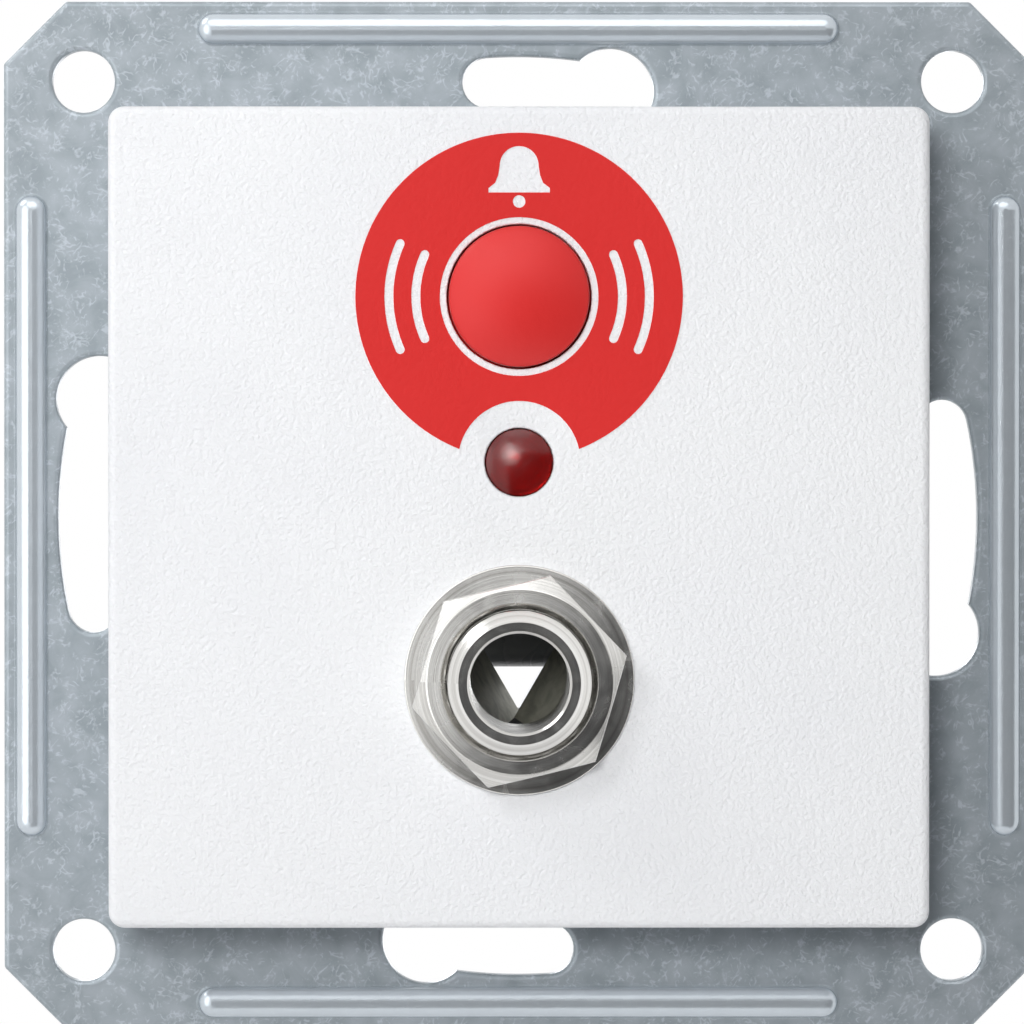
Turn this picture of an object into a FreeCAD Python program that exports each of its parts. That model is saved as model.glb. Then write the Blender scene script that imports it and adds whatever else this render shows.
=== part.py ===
import FreeCAD
import Part
import Sketcher
import math
import os

# Flush-mounted nurse call button with a jack socket, for a wall box with a 60 mm opening.
#
# Every piece is drawn as it would lie face up on a bench: X to the right, Y up the wall and
# Z towards the person in front of it, with Z = 0 at the wall. Its Placement then stands it
# on the wall, so in the finished part +Z is up and +Y goes into the wall. A height in the
# names and notes below is this distance in front of the wall, negative behind it.

driving_sizes = {
    # how far a cutting shape stands past what it cuts, and the least land left at an edge
    "tool_overrun": 0.5,
    "edge_land": 0.1,
    # support frame
    "frame_width": 71.0,
    "frame_sheet": 1.0,
    "frame_corner_cut": 4.3,
    "corner_hole_spacing": 60.0,
    "corner_hole_radius": 2.15,
    "bead_from_centre": 33.6,
    "bead_length": 44.5,
    "bead_width": 2.5,
    "bead_rise": 0.8,
    "bead_rounding": 0.7,
    "bead_groove_width": 1.1,
    "bead_groove_depth": 0.6,
    "slot_circle_radius": 30.0,
    "slot_half_width": 1.75,
    "slot_round_radius": 3.1,
    "upright_slot_narrow_angle": 94.0,
    "upright_slot_round_angle": 77.75,
    "level_slot_narrow_angle": 12.1,
    "level_slot_round_angle": -15.6,
    "frame_opening_half": 21.8,
    "frame_opening_sum": 35.6,
    "frame_notch_reach": 24.3,
    "frame_notch_width": 6.8,
    "frame_seat_width": 1.2,
    "frame_seat_depth": 0.3,
    # central plate
    "plate_width": 55.0,
    "plate_front": 11.0,
    "plate_wall": 2.0,
    "skirt_wall": 1.5,
    "skirt_end": 2.6,
    "plate_corner_radius": 1.1,
    "plate_edge_rounding": 0.6,
    "plate_rib_width": 1.0,
    "plate_rib_depth": 1.4,
    "plate_rib_spacing": 12.0,
    "arm_reach": 24.0,
    "arm_thickness": 1.4,
    "arm_width": 6.0,
    "arm_end": -1.4,
    "arm_lip": 0.9,
    "arm_lip_rise": 1.6,
    "post_offset_x": 23.0,
    "post_offset_y": 12.0,
    "post_radius": 1.5,
    # printed symbol round the button
    "print_thickness": 0.06,
    "print_radius": 10.94,
    "print_ring_radius": 5.3,
    "print_bite_radius": 4.1,
    "call_arc_inner_radius": 6.9,
    "call_arc_outer_radius": 8.7,
    "call_arc_half_width": 0.3,
    "call_arc_half_angle": 24.0,
    "bell_crown_height": 8.75,
    "bell_crown_radius": 1.3,
    "bell_waist_height": 8.1,
    "bell_waist_half": 1.4,
    "bell_flare_height": 7.6,
    "bell_flare_half": 1.6,
    "bell_rim_height": 7.25,
    "bell_mouth_height": 6.95,
    "bell_mouth_half": 2.05,
    "bell_clapper_height": 6.35,
    "bell_clapper_radius": 0.42,
    # call button
    "button_above_centre": 14.76,
    "button_radius": 4.7,
    "button_hole_radius": 4.85,
    "button_edge_height": 11.5,
    "button_dome_height": 12.7,
    "button_edge_rounding": 0.25,
    "button_roof_drop": 0.2,
    "button_flange_radius": 5.7,
    "button_flange_thickness": 0.8,
    "button_wall": 1.0,
    "button_stem_radius": 2.0,
    "button_stem_end": 7.3,
    "button_collar_radius": 5.95,
    "button_collar_wall": 1.05,
    "button_collar_end": 7.2,
    "spring_mean_radius": 4.85,
    "spring_wire_radius": 0.17,
    "spring_turns": 4.0,
    # push switch
    "switch_width": 6.0,
    "switch_base_top": 6.1,
    "switch_cover_top": 6.35,
    "switch_cover_hole_radius": 1.85,
    "switch_floor": 4.0,
    "switch_cavity_radius": 2.3,
    "plunger_radius": 1.7,
    "plunger_flange_radius": 2.1,
    "plunger_flange_thickness": 0.6,
    "plunger_bottom": 5.3,
    "dome_radius": 2.2,
    "dome_apex": 4.45,
    "dome_thickness": 0.1,
    "switch_leg_width": 0.7,
    "switch_leg_reach": 3.75,
    "switch_leg_offset": 2.25,
    # indicator
    "lens_above_centre": 3.69,
    "lens_radius": 2.2,
    "lens_hole_radius": 2.3,
    "lens_edge_height": 11.05,
    "lens_dome_height": 11.35,
    "lens_flange_radius": 2.8,
    "lens_end": 8.0,
    "lens_inner_radius": 1.76,
    "lens_inner_height": 9.6,
    "lens_collar_radius": 2.95,
    "lens_collar_wall": 1.05,
    "lens_collar_end": 7.6,
    "lamp_radius": 1.5,
    "lamp_flange_radius": 1.9,
    "lamp_bottom": 3.9,
    "lamp_flange_top": 4.6,
    "lamp_top": 7.3,
    "lamp_dome_rise": 1.3,
    "lamp_leg_offset": 1.27,
    "lamp_leg_width": 0.5,
    # circuit board
    "board_back": 1.4,
    "board_thickness": 1.6,
    "board_half": 19.6,
    "board_sum": 31.9,
    "board_jack_hole_radius": 7.2,
    "board_screw_offset_x": 16.8,
    "board_screw_upper": 1.8,
    "board_screw_lower": -11.0,
    "board_screw_head_radius": 1.9,
    "board_screw_head_height": 1.3,
    "board_screw_radius": 1.0,
    "board_screw_end": -1.6,
    "board_screw_hole_radius": 1.2,
    "board_screw_cross_reach": 1.2,
    "board_screw_cross_half": 0.25,
    "board_screw_cross_depth": 0.7,
    # insert housing
    "housing_half": 21.5,
    "housing_sum": 35.1,
    "housing_wall": 1.5,
    "housing_back": -4.0,
    "housing_rim": 3.4,
    "housing_flange_half": 25.0,
    "housing_flange_thickness": 1.2,
    "housing_flange_corner": 3.0,
    "housing_ledge_half": 11.5,
    "housing_ledge_width": 2.35,
    "housing_notch_reach": 22.2,
    "housing_post_radius": 2.3,
    "housing_post_hole_radius": 1.05,
    "housing_jack_hole_radius": 7.1,
    "housing_hook_reach": 22.4,
    "housing_hook_width": 4.0,
    "housing_hook_offset": 11.0,
    "housing_hook_length": 1.9,
    "housing_hook_gap": 0.05,
    # jack socket
    "jack_below_centre": -10.86,
    "jack_bore_radius": 3.3,
    "jack_thread_radius": 4.75,
    "jack_hole_radius": 4.9,
    "jack_end": 16.5,
    "jack_end_chamfer": 0.6,
    "jack_mouth_radius": 3.75,
    "jack_mouth_depth": 0.45,
    "jack_flange_radius": 6.8,
    "jack_flange_back": 7.8,
    "jack_spigot_radius": 4.95,
    "jack_spigot_end": 4.8,
    "washer_radius": 7.7,
    "washer_thickness": 0.7,
    "washer_rounding": 0.2,
    "nut_across_flats": 12.7,
    "nut_thickness": 2.8,
    "nut_bore_radius": 4.8,
    "nut_face_radius": 6.15,
    "nut_chamfer_angle": 30.0,
    "nut_turn": 13.5,
    "tag_thickness": 0.4,
    "tag_inner_radius": 5.05,
    "tag_outer_radius": 6.6,
    "tag_leg_radius": 8.0,
    "tag_leg_width": 2.0,
    "tag_leg_end": 0.6,
    "tag_slot_gap": 0.2,
    "carrier_radius": 6.8,
    "carrier_socket_radius": 5.0,
    "carrier_bore_radius": 4.65,
    "carrier_back": -16.8,
    "carrier_stop_thickness": 2.0,
    "carrier_port_half_width": 3.2,
    "carrier_port_top": -0.3,
    "carrier_port_bottom": -3.3,
    "carrier_port_rounding": 1.8,
    "carrier_window_width": 6.8,
    "carrier_window_inner": 3.5,
    "carrier_window_end": -12.3,
    "blade_width": 6.0,
    "blade_thickness": 0.35,
    "blade_slant_thickness": 0.4,
    "blade_foot_reach": 9.6,
    "blade_root_radius": 4.35,
    "blade_bend": 0.3,
    "ring_blade_angle": 330.0,
    "ring_blade_crest_radius": 1.4,
    "ring_blade_crest_height": -3.8,
    "ring_blade_tip_radius": 3.0,
    "ring_blade_tip_height": -7.2,
    "tip_blade_angle": 210.0,
    "tip_blade_crest_radius": 1.45,
    "tip_blade_crest_height": -10.2,
    "tip_blade_tip_radius": 2.6,
    "tip_blade_tip_height": -12.4,
    # terminal block
    "block_half_length": 15.2,
    "block_lower": 6.5,
    "block_upper": 16.1,
    "block_back": -10.6,
    "block_chamfer": 1.6,
    "block_window_gap": 0.3,
    "pole_spacing": 5.0,
    "pole_count": 6.0,
    "entry_width": 3.6,
    "entry_low": -8.0,
    "entry_high": -3.4,
    "entry_end": 7.6,
    "screw_row": 10.4,
    "screw_shaft_radius": 1.7,
    "screw_head_radius": 1.55,
    "screw_head_back": -10.1,
    "screw_head_front": -8.6,
    "screw_radius": 1.15,
    "screw_front": -6.2,
    "screw_slot_width": 0.5,
    "screw_slot_depth": 0.8,
    "cage_half_width": 1.7,
    "cage_back": -7.9,
    "cage_front": -3.5,
    "cage_wall": 0.8,
    "cage_length": 4.8,
    "cage_hole_radius": 1.3,
    "pin_row": 8.5,
    "pin_width": 0.8,
    "pin_end": 4.2,
    "pin_hole_radius": 0.7,
    # small parts on the board
    "resistor_radius": 1.15,
    "resistor_length": 6.0,
    "diode_radius": 0.9,
    "diode_length": 4.0,
    "lead_radius": 0.3,
    "lead_span": 8.0,
    "lead_end": 0.7,
    "lead_hole_radius": 0.45,
    "leaded_part_gap": 0.1,
    "leaded_part_offset": 9.0,
}

document = FreeCAD.newDocument("nurse_call_button")
sheet = document.addObject("Spreadsheet::Sheet", "sizes")
for row, (alias, number) in enumerate(driving_sizes.items(), start=1):
    sheet.set(f"A{row}", alias)
    sheet.set(f"B{row}", str(number))
    sheet.setAlias(f"B{row}", alias)
document.recompute()


class Size:
    """A length or angle: its number, and the expression that works it out from the sheet."""

    def __init__(self, number, text):
        self.number = number
        self.text = text

    def joined(self, sign, other, number):
        return Size(number, f"({self.text} {sign} {size(other).text})")

    def __add__(self, other):
        return self.joined("+", other, self.number + size(other).number)

    def __sub__(self, other):
        return self.joined("-", other, self.number - size(other).number)

    def __mul__(self, other):
        return self.joined("*", other, self.number * size(other).number)

    def __truediv__(self, other):
        return self.joined("/", other, self.number / size(other).number)

    def __neg__(self):
        return size(0.0) - self


def size(thing):
    """A Size from a plain number, from an alias on the sheet, or as it is."""
    if isinstance(thing, Size):
        return thing
    if isinstance(thing, str):
        return Size(float(sheet.get(thing)), f"sizes.{thing}")
    return Size(float(thing), repr(float(thing)))


def cosine(angle):
    angle = size(angle)
    return Size(math.cos(math.radians(angle.number)), f"cos({angle.text} * 1 deg)")


def sine(angle):
    angle = size(angle)
    return Size(math.sin(math.radians(angle.number)), f"sin({angle.text} * 1 deg)")


def tangent(angle):
    angle = size(angle)
    return Size(math.tan(math.radians(angle.number)), f"tan({angle.text} * 1 deg)")


def bind(thing, path, value):
    thing.setExpression(path, size(value).text)


# Bodies and sketches


def new_body(label, x=0.0, y=0.0):
    """A body drawn face up, with its own origin at (x, y) on the wall."""
    body = document.addObject("PartDesign::Body", label)
    body.Label = label
    body.AllowCompound = True
    upright = FreeCAD.Rotation(FreeCAD.Vector(1, 0, 0), 90)
    body.Placement = FreeCAD.Placement(FreeCAD.Vector(size(x).number, 0, size(y).number), upright)
    bind(body, "Placement.Base.x", x)
    bind(body, "Placement.Base.z", y)
    return body


def new_sketch(body, name, height=0.0, role="XY_Plane", turn=0.0):
    """A sketch on one of the body's own planes, moved along that plane's normal by height."""
    sketch = body.newObject("Sketcher::SketchObject", name)
    plane = next(p for p in body.Origin.OriginFeatures if p.Role == role)
    sketch.AttachmentSupport = [(plane, "")]
    sketch.MapMode = "FlatFace"
    if role == "XY_Plane":
        sketch.AttachmentOffset = FreeCAD.Placement(
            FreeCAD.Vector(0, 0, size(height).number),
            FreeCAD.Rotation(FreeCAD.Vector(0, 0, 1), size(turn).number),
        )
    bind(sketch, "AttachmentOffset.Base.z", height)
    if size(turn).number:
        bind(sketch, "AttachmentOffset.Rotation.Angle", turn)
    return sketch


def place_point(sketch, geometry, point, x, y):
    """Ties a point of the sketch to x and y, or to the axis itself where a value is zero."""
    for kind, axis, value in (("DistanceX", -2, size(x)), ("DistanceY", -1, size(y))):
        if abs(value.number) < 1e-9:
            sketch.addConstraint(Sketcher.Constraint("PointOnObject", geometry, point, axis))
        else:
            rule = Sketcher.Constraint(kind, -1, 1, geometry, point, value.number)
            index = sketch.addConstraint(rule)
            sketch.setExpression(f"Constraints[{index}]", value.text)


def outline(sketch, corners):
    """A closed run of straight lines through the corners."""
    points = [(size(x), size(y)) for x, y in corners]
    vectors = [FreeCAD.Vector(x.number, y.number, 0) for x, y in points]
    lines = []
    for start, end in zip(vectors, vectors[1:] + vectors[:1]):
        lines.append(sketch.addGeometry(Part.LineSegment(start, end), False))
    for line, following in zip(lines, lines[1:] + lines[:1]):
        sketch.addConstraint(Sketcher.Constraint("Coincident", line, 2, following, 1))
    for line, (x, y) in zip(lines, points):
        place_point(sketch, line, 1, x, y)


def rectangle(sketch, left, bottom, right, top):
    outline(sketch, [(left, bottom), (right, bottom), (right, top), (left, top)])


def circle(sketch, x, y, radius):
    centre = FreeCAD.Vector(size(x).number, size(y).number, 0)
    shape = Part.Circle(centre, FreeCAD.Vector(0, 0, 1), size(radius).number)
    ring = sketch.addGeometry(shape, False)
    index = sketch.addConstraint(Sketcher.Constraint("Radius", ring, size(radius).number))
    sketch.setExpression(f"Constraints[{index}]", size(radius).text)
    place_point(sketch, ring, 3, x, y)


def straight_slot(sketch, x, y, length, width, upright):
    """A slot with half-round ends, centred on (x, y)."""
    x, y = size(x), size(y)
    radius = size(width) / 2
    reach = size(length) / 2 - radius
    ends = [(x, y - reach), (x, y + reach)] if upright else [(x - reach, y), (x + reach, y)]
    lean = 90.0 if upright else 0.0
    arcs = []
    for (end_x, end_y), first in zip(ends, (lean + 90.0, lean - 90.0)):
        centre = FreeCAD.Vector(end_x.number, end_y.number, 0)
        full = Part.Circle(centre, FreeCAD.Vector(0, 0, 1), radius.number)
        arc = Part.ArcOfCircle(full, math.radians(first), math.radians(first + 180.0))
        arcs.append(sketch.addGeometry(arc, False))
    for start_arc, end_arc in ((0, 1), (1, 0)):
        start = sketch.getPoint(arcs[start_arc], 2)
        end = sketch.getPoint(arcs[end_arc], 1)
        line = sketch.addGeometry(Part.LineSegment(start, end), False)
        sketch.addConstraint(Sketcher.Constraint("Tangent", arcs[start_arc], 2, line, 1))
        sketch.addConstraint(Sketcher.Constraint("Tangent", line, 2, arcs[end_arc], 1))
    for arc, (end_x, end_y) in zip(arcs, ends):
        place_point(sketch, arc, 3, end_x, end_y)
    index = sketch.addConstraint(Sketcher.Constraint("Radius", arcs[0], radius.number))
    sketch.setExpression(f"Constraints[{index}]", radius.text)


def arc_slot(sketch, radius, half_width, first, last):
    """A slot bent round the sketch's origin, from the first angle to the last, anticlockwise."""
    radius, half_width = size(radius), size(half_width)
    first, last = size(first), size(last)
    centre = FreeCAD.Vector(0, 0, 0)
    up = FreeCAD.Vector(0, 0, 1)
    low, high = math.radians(first.number), math.radians(last.number)
    sides = []
    for side_radius in (radius + half_width, radius - half_width):
        whole = Part.Circle(centre, up, side_radius.number)
        side = sketch.addGeometry(Part.ArcOfCircle(whole, low, high), False)
        sketch.addConstraint(Sketcher.Constraint("Coincident", side, 3, -1, 1))
        index = sketch.addConstraint(Sketcher.Constraint("Radius", side, side_radius.number))
        sketch.setExpression(f"Constraints[{index}]", side_radius.text)
        sides.append(side)
    outer, inner = sides
    for angle, start, outer_point in ((first, low + math.pi, 1), (last, high, 2)):
        x, y = radius * cosine(angle), radius * sine(angle)
        whole = Part.Circle(FreeCAD.Vector(x.number, y.number, 0), up, half_width.number)
        end = sketch.addGeometry(Part.ArcOfCircle(whole, start, start + math.pi), False)
        meets_outer, meets_inner = (2, 1) if outer_point == 1 else (1, 2)
        sketch.addConstraint(Sketcher.Constraint("Tangent", end, meets_outer, outer, outer_point))
        sketch.addConstraint(Sketcher.Constraint("Tangent", end, meets_inner, inner, outer_point))
        rule = Sketcher.Constraint("DistanceY", -1, 1, end, 3, y.number)
        index = sketch.addConstraint(rule)
        sketch.setExpression(f"Constraints[{index}]", y.text)


# Features


def pad(body, sketch, length, towards_wall=False):
    feature = body.newObject("PartDesign::Pad", sketch.Name + "_pad")
    feature.Profile = sketch
    feature.Reversed = towards_wall
    bind(feature, "Length", length)
    body.Tip = feature
    return feature


def pad_both_ways(body, sketch, length):
    feature = pad(body, sketch, length)
    feature.Midplane = True
    return feature


def pocket(body, sketch, depth, away_from_wall=False):
    feature = body.newObject("PartDesign::Pocket", sketch.Name + "_pocket")
    feature.Profile = sketch
    feature.Reversed = away_from_wall
    bind(feature, "Length", depth)
    body.Tip = feature
    return feature


def turned(body, name, profile):
    """A turned form: the profile's points are (radius, height) about the body's Z axis."""
    sketch = new_sketch(body, name, role="XZ_Plane")
    outline(sketch, profile)
    feature = body.newObject("PartDesign::Revolution", name + "_turned")
    feature.Profile = sketch
    feature.ReferenceAxis = (sketch, ["V_Axis"])
    feature.Angle = 360.0
    body.Tip = feature
    return feature


def edges_where(feature, wanted):
    document.recompute()
    return [f"Edge{i}" for i, edge in enumerate(feature.Shape.Edges, start=1) if wanted(edge)]


def fillet(body, base, wanted, radius):
    feature = body.newObject("PartDesign::Fillet", base.Name + "_rounded")
    feature.Base = (base, edges_where(base, wanted))
    bind(feature, "Radius", radius)
    body.Tip = feature
    return feature


def chamfer(body, base, wanted, width):
    feature = body.newObject("PartDesign::Chamfer", base.Name + "_chamfered")
    feature.Base = (base, edges_where(base, wanted))
    bind(feature, "Size", width)
    body.Tip = feature
    return feature


def is_upright(edge):
    box = edge.BoundBox
    return box.XLength < 1e-5 and box.YLength < 1e-5


def is_level_at(edge, height):
    box = edge.BoundBox
    return abs(box.ZMin - size(height).number) < 1e-4 and box.ZLength < 1e-4


def reach_of(edge):
    """How far the middle of an edge's box lies from the body's axis, along X or Y."""
    centre = edge.BoundBox.Center
    return max(abs(centre.x), abs(centre.y))


def cut_square(half, total):
    """The corners of a square with cut corners: half its width, and x + y along each cut."""
    half, rest = size(half), size(total) - size(half)
    return [
        (half, -rest), (half, rest), (rest, half), (-rest, half),
        (-half, rest), (-half, -rest), (-rest, -half), (rest, -half),
    ]


def notched_square(corners_of_side, notch_reach, notch_width):
    """Four sides, each with a square notch in its middle. A side is given for the right
    hand, from bottom to top, and is turned a quarter each time."""
    half_notch = size(notch_width) / 2
    half = corners_of_side[0][0]
    side = [
        corners_of_side[0],
        (half, -half_notch), (notch_reach, -half_notch),
        (notch_reach, half_notch), (half, half_notch),
        corners_of_side[1],
    ]
    corners = []
    for _ in range(4):
        corners.extend(side)
        side = [(-size(y), size(x)) for x, y in side]
    return corners


# Support frame


def make_support_frame():
    """Punched and embossed sheet. The opening's edge is pressed back a little from behind,
    so that the hooks and lips that grip it stand clear of the wall face."""
    body = new_body("support_frame")
    sheet_thickness = size("frame_sheet")
    half = size("frame_width") / 2
    blank = new_sketch(body, "frame_blank")
    outline(blank, cut_square(half, half * 2 - size("frame_corner_cut")))
    pad(body, blank, sheet_thickness)

    opening = new_sketch(body, "frame_opening", sheet_thickness)
    opening_half = size("frame_opening_half")
    rest = size("frame_opening_sum") - opening_half
    side = [(opening_half, -rest), (opening_half, rest)]
    outline(opening, notched_square(side, size("frame_notch_reach"), "frame_notch_width"))
    pocket(body, opening, sheet_thickness)
    seat_half = opening_half + "frame_seat_width"
    seat_rest = size("frame_opening_sum") + size("frame_seat_width") * math.sqrt(2.0) - seat_half
    seat = new_sketch(body, "opening_seat")
    outline(seat, notched_square(
        [(seat_half, -seat_rest), (seat_half, seat_rest)],
        size("frame_notch_reach") + "frame_seat_width",
        size("frame_notch_width") + size("frame_seat_width") * 2,
    ))
    pocket(body, seat, "frame_seat_depth", away_from_wall=True)

    hole_at = size("corner_hole_spacing") / 2
    corner_holes = new_sketch(body, "corner_holes", sheet_thickness)
    for x in (-hole_at, hole_at):
        for y in (-hole_at, hole_at):
            circle(corner_holes, x, y, "corner_hole_radius")
    pocket(body, corner_holes, sheet_thickness)

    keyholes = (
        ("upright", 0.0), ("upright", 180.0), ("level", 0.0), ("level", 180.0),
    )
    for number, (kind, turn) in enumerate(keyholes):
        narrow = size(f"{kind}_slot_narrow_angle") + turn
        wide = size(f"{kind}_slot_round_angle") + turn
        slot = new_sketch(body, f"keyhole_slot_{number}", sheet_thickness)
        arc_slot(slot, "slot_circle_radius", "slot_half_width", wide, narrow)
        pocket(body, slot, sheet_thickness)
        head = new_sketch(body, f"keyhole_head_{number}", sheet_thickness)
        radius = size("slot_circle_radius")
        circle(head, radius * cosine(wide), radius * sine(wide), "slot_round_radius")
        pocket(body, head, sheet_thickness)

    away = size("bead_from_centre")
    places = ((0.0, away, False), (0.0, -away, False), (away, 0.0, True), (-away, 0.0, True))
    beads = new_sketch(body, "beads", sheet_thickness)
    for x, y, upright in places:
        straight_slot(beads, x, y, "bead_length", "bead_width", upright)
    raised = pad(body, beads, "bead_rise")
    crest = sheet_thickness + "bead_rise"
    fillet(body, raised, lambda edge: is_level_at(edge, crest), "bead_rounding")
    grooves = new_sketch(body, "bead_grooves")
    groove_length = size("bead_length") - size("bead_width") + size("bead_groove_width")
    for x, y, upright in places:
        straight_slot(grooves, x, y, groove_length, "bead_groove_width", upright)
    pocket(body, grooves, "bead_groove_depth", away_from_wall=True)


# Central plate


def make_central_plate():
    body = new_body("central_plate")
    front = size("plate_front")
    inside = front - "plate_wall"
    half = size("plate_width") / 2
    inner_half = half - "skirt_wall"
    shell = new_sketch(body, "plate_shell", "skirt_end")
    rectangle(shell, -half, -half, half, half)
    block = pad(body, shell, front - "skirt_end")
    block = fillet(body, block, is_upright, "plate_corner_radius")
    block = fillet(body, block, lambda edge: is_level_at(edge, front), "plate_edge_rounding")
    hollow = new_sketch(body, "plate_hollow", "skirt_end")
    rectangle(hollow, -inner_half, -inner_half, inner_half, inner_half)
    pocket(body, hollow, inside - "skirt_end", away_from_wall=True)

    rib_half = size("plate_rib_width") / 2
    for side in (-1.0, 1.0):
        at = size("plate_rib_spacing") * side
        rib = new_sketch(body, "plate_rib", inside)
        rectangle(rib, at - rib_half, -inner_half, at + rib_half, inner_half)
        pad(body, rib, "plate_rib_depth", towards_wall=True)
    lens_y = size("lens_above_centre")
    cross_rib = new_sketch(body, "plate_cross_rib", inside)
    rectangle(cross_rib, -inner_half, lens_y - rib_half, inner_half, lens_y + rib_half)
    pad(body, cross_rib, "plate_rib_depth", towards_wall=True)

    collars = (
        ("button_above_centre", "button_collar_radius", "button_collar_wall", "button_collar_end"),
        ("lens_above_centre", "lens_collar_radius", "lens_collar_wall", "lens_collar_end"),
    )
    for y, radius, wall, end in collars:
        collar = new_sketch(body, "plate_collar", inside)
        circle(collar, 0.0, y, size(radius) + wall)
        pad(body, collar, inside - end, towards_wall=True)
        bore = new_sketch(body, "plate_collar_bore", end)
        circle(bore, 0.0, y, radius)
        pocket(body, bore, inside - end, away_from_wall=True)

    holes = new_sketch(body, "plate_holes", front)
    circle(holes, 0.0, "button_above_centre", "button_hole_radius")
    circle(holes, 0.0, "lens_above_centre", "lens_hole_radius")
    circle(holes, 0.0, "jack_below_centre", "jack_hole_radius")
    pocket(body, holes, "plate_wall")

    posts = new_sketch(body, "plate_posts", inside)
    for x in (-size("post_offset_x"), size("post_offset_x")):
        for y in (-size("post_offset_y"), size("post_offset_y")):
            circle(posts, x, y, "post_radius")
    seat = size("frame_sheet") + "housing_flange_thickness"
    pad(body, posts, inside - seat, towards_wall=True)

    reach, thin = size("arm_reach"), size("arm_thickness")
    half_arm = size("arm_width") / 2
    arm_sides = {
        "arm": (reach - thin, reach, inside, inside - "arm_end", True),
        "arm_lip": (reach - thin, reach + "arm_lip", size("arm_end"), "arm_lip_rise", False),
    }
    for name, (near, far, height, length, towards_wall) in arm_sides.items():
        arms = new_sketch(body, "plate_" + name, height)
        rectangle(arms, near, -half_arm, far, half_arm)
        rectangle(arms, -far, -half_arm, -near, half_arm)
        rectangle(arms, -half_arm, near, half_arm, far)
        rectangle(arms, -half_arm, -far, half_arm, -near)
        last = pad(body, arms, length, towards_wall)
    lip = reach + "arm_lip"
    end = size("arm_end")
    chamfer(
        body, last,
        lambda edge: is_level_at(edge, end) and abs(reach_of(edge) - lip.number) < 1e-4,
        size("arm_lip") - "edge_land",
    )


def make_call_symbol():
    """A red field of print: a bell and two pairs of call arcs left open, and clear rings
    round the button and the lamp."""
    body = new_body("call_symbol", 0.0, "button_above_centre")
    top = size("plate_front") + "print_thickness"
    field = new_sketch(body, "print_field", "plate_front")
    circle(field, 0.0, 0.0, "print_radius")
    pad(body, field, "print_thickness")
    clear = new_sketch(body, "print_ring", top)
    circle(clear, 0.0, 0.0, "print_ring_radius")
    pocket(body, clear, "print_thickness")
    bite = new_sketch(body, "print_bite", top)
    circle(bite, 0.0, size("lens_above_centre") - "button_above_centre", "print_bite_radius")
    pocket(body, bite, "print_thickness")
    half_angle = size("call_arc_half_angle")
    for middle in (0.0, 180.0):
        for radius in ("call_arc_inner_radius", "call_arc_outer_radius"):
            arc = new_sketch(body, "call_arc", top)
            first, last = size(middle) - half_angle, size(middle) + half_angle
            arc_slot(arc, radius, "call_arc_half_width", first, last)
            pocket(body, arc, "print_thickness")
    for part in ("crown", "clapper"):
        disc = new_sketch(body, "bell_" + part, top)
        circle(disc, 0.0, f"bell_{part}_height", f"bell_{part}_radius")
        pocket(body, disc, "print_thickness")
    right = [
        ("bell_mouth_half", "bell_mouth_height"), ("bell_mouth_half", "bell_rim_height"),
        ("bell_flare_half", "bell_flare_height"), ("bell_waist_half", "bell_waist_height"),
        ("bell_crown_radius", "bell_crown_height"),
    ]
    left = [(-size(x), y) for x, y in reversed(right)]
    skirt = new_sketch(body, "bell_skirt", top)
    outline(skirt, right + left)
    pocket(body, skirt, "print_thickness")


# Call button and its switch


def make_button_cap():
    body = new_body("button_cap", 0.0, "button_above_centre")
    radius, rim = size("button_radius"), size("button_flange_radius")
    underside = size("plate_front") - "plate_wall"
    flange_back = underside - "button_flange_thickness"
    crown, edge = size("button_dome_height"), size("button_edge_height")
    roof = edge - "button_roof_drop"
    inner = radius - "button_wall"
    stem = size("button_stem_radius")
    turned(body, "button_profile", [
        (0.0, crown), (0.0, "button_stem_end"), (stem, "button_stem_end"), (stem, roof),
        (inner, roof), (inner, flange_back), (rim, flange_back), (rim, underside),
        (radius, underside), (radius, crown),
    ])
    domed = dome(body, radius, crown, edge)
    fillet(
        body, domed,
        lambda line: is_level_at(line, edge) and line.BoundBox.XLength > 2 * inner.number,
        "button_edge_rounding",
    )


def groove(body, sketch):
    """A turned cut about the body's Z axis."""
    cut = body.newObject("PartDesign::Groove", sketch.Name + "_groove")
    cut.Profile = sketch
    cut.ReferenceAxis = (sketch, ["V_Axis"])
    cut.Angle = 360.0
    body.Tip = cut
    return cut


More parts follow.
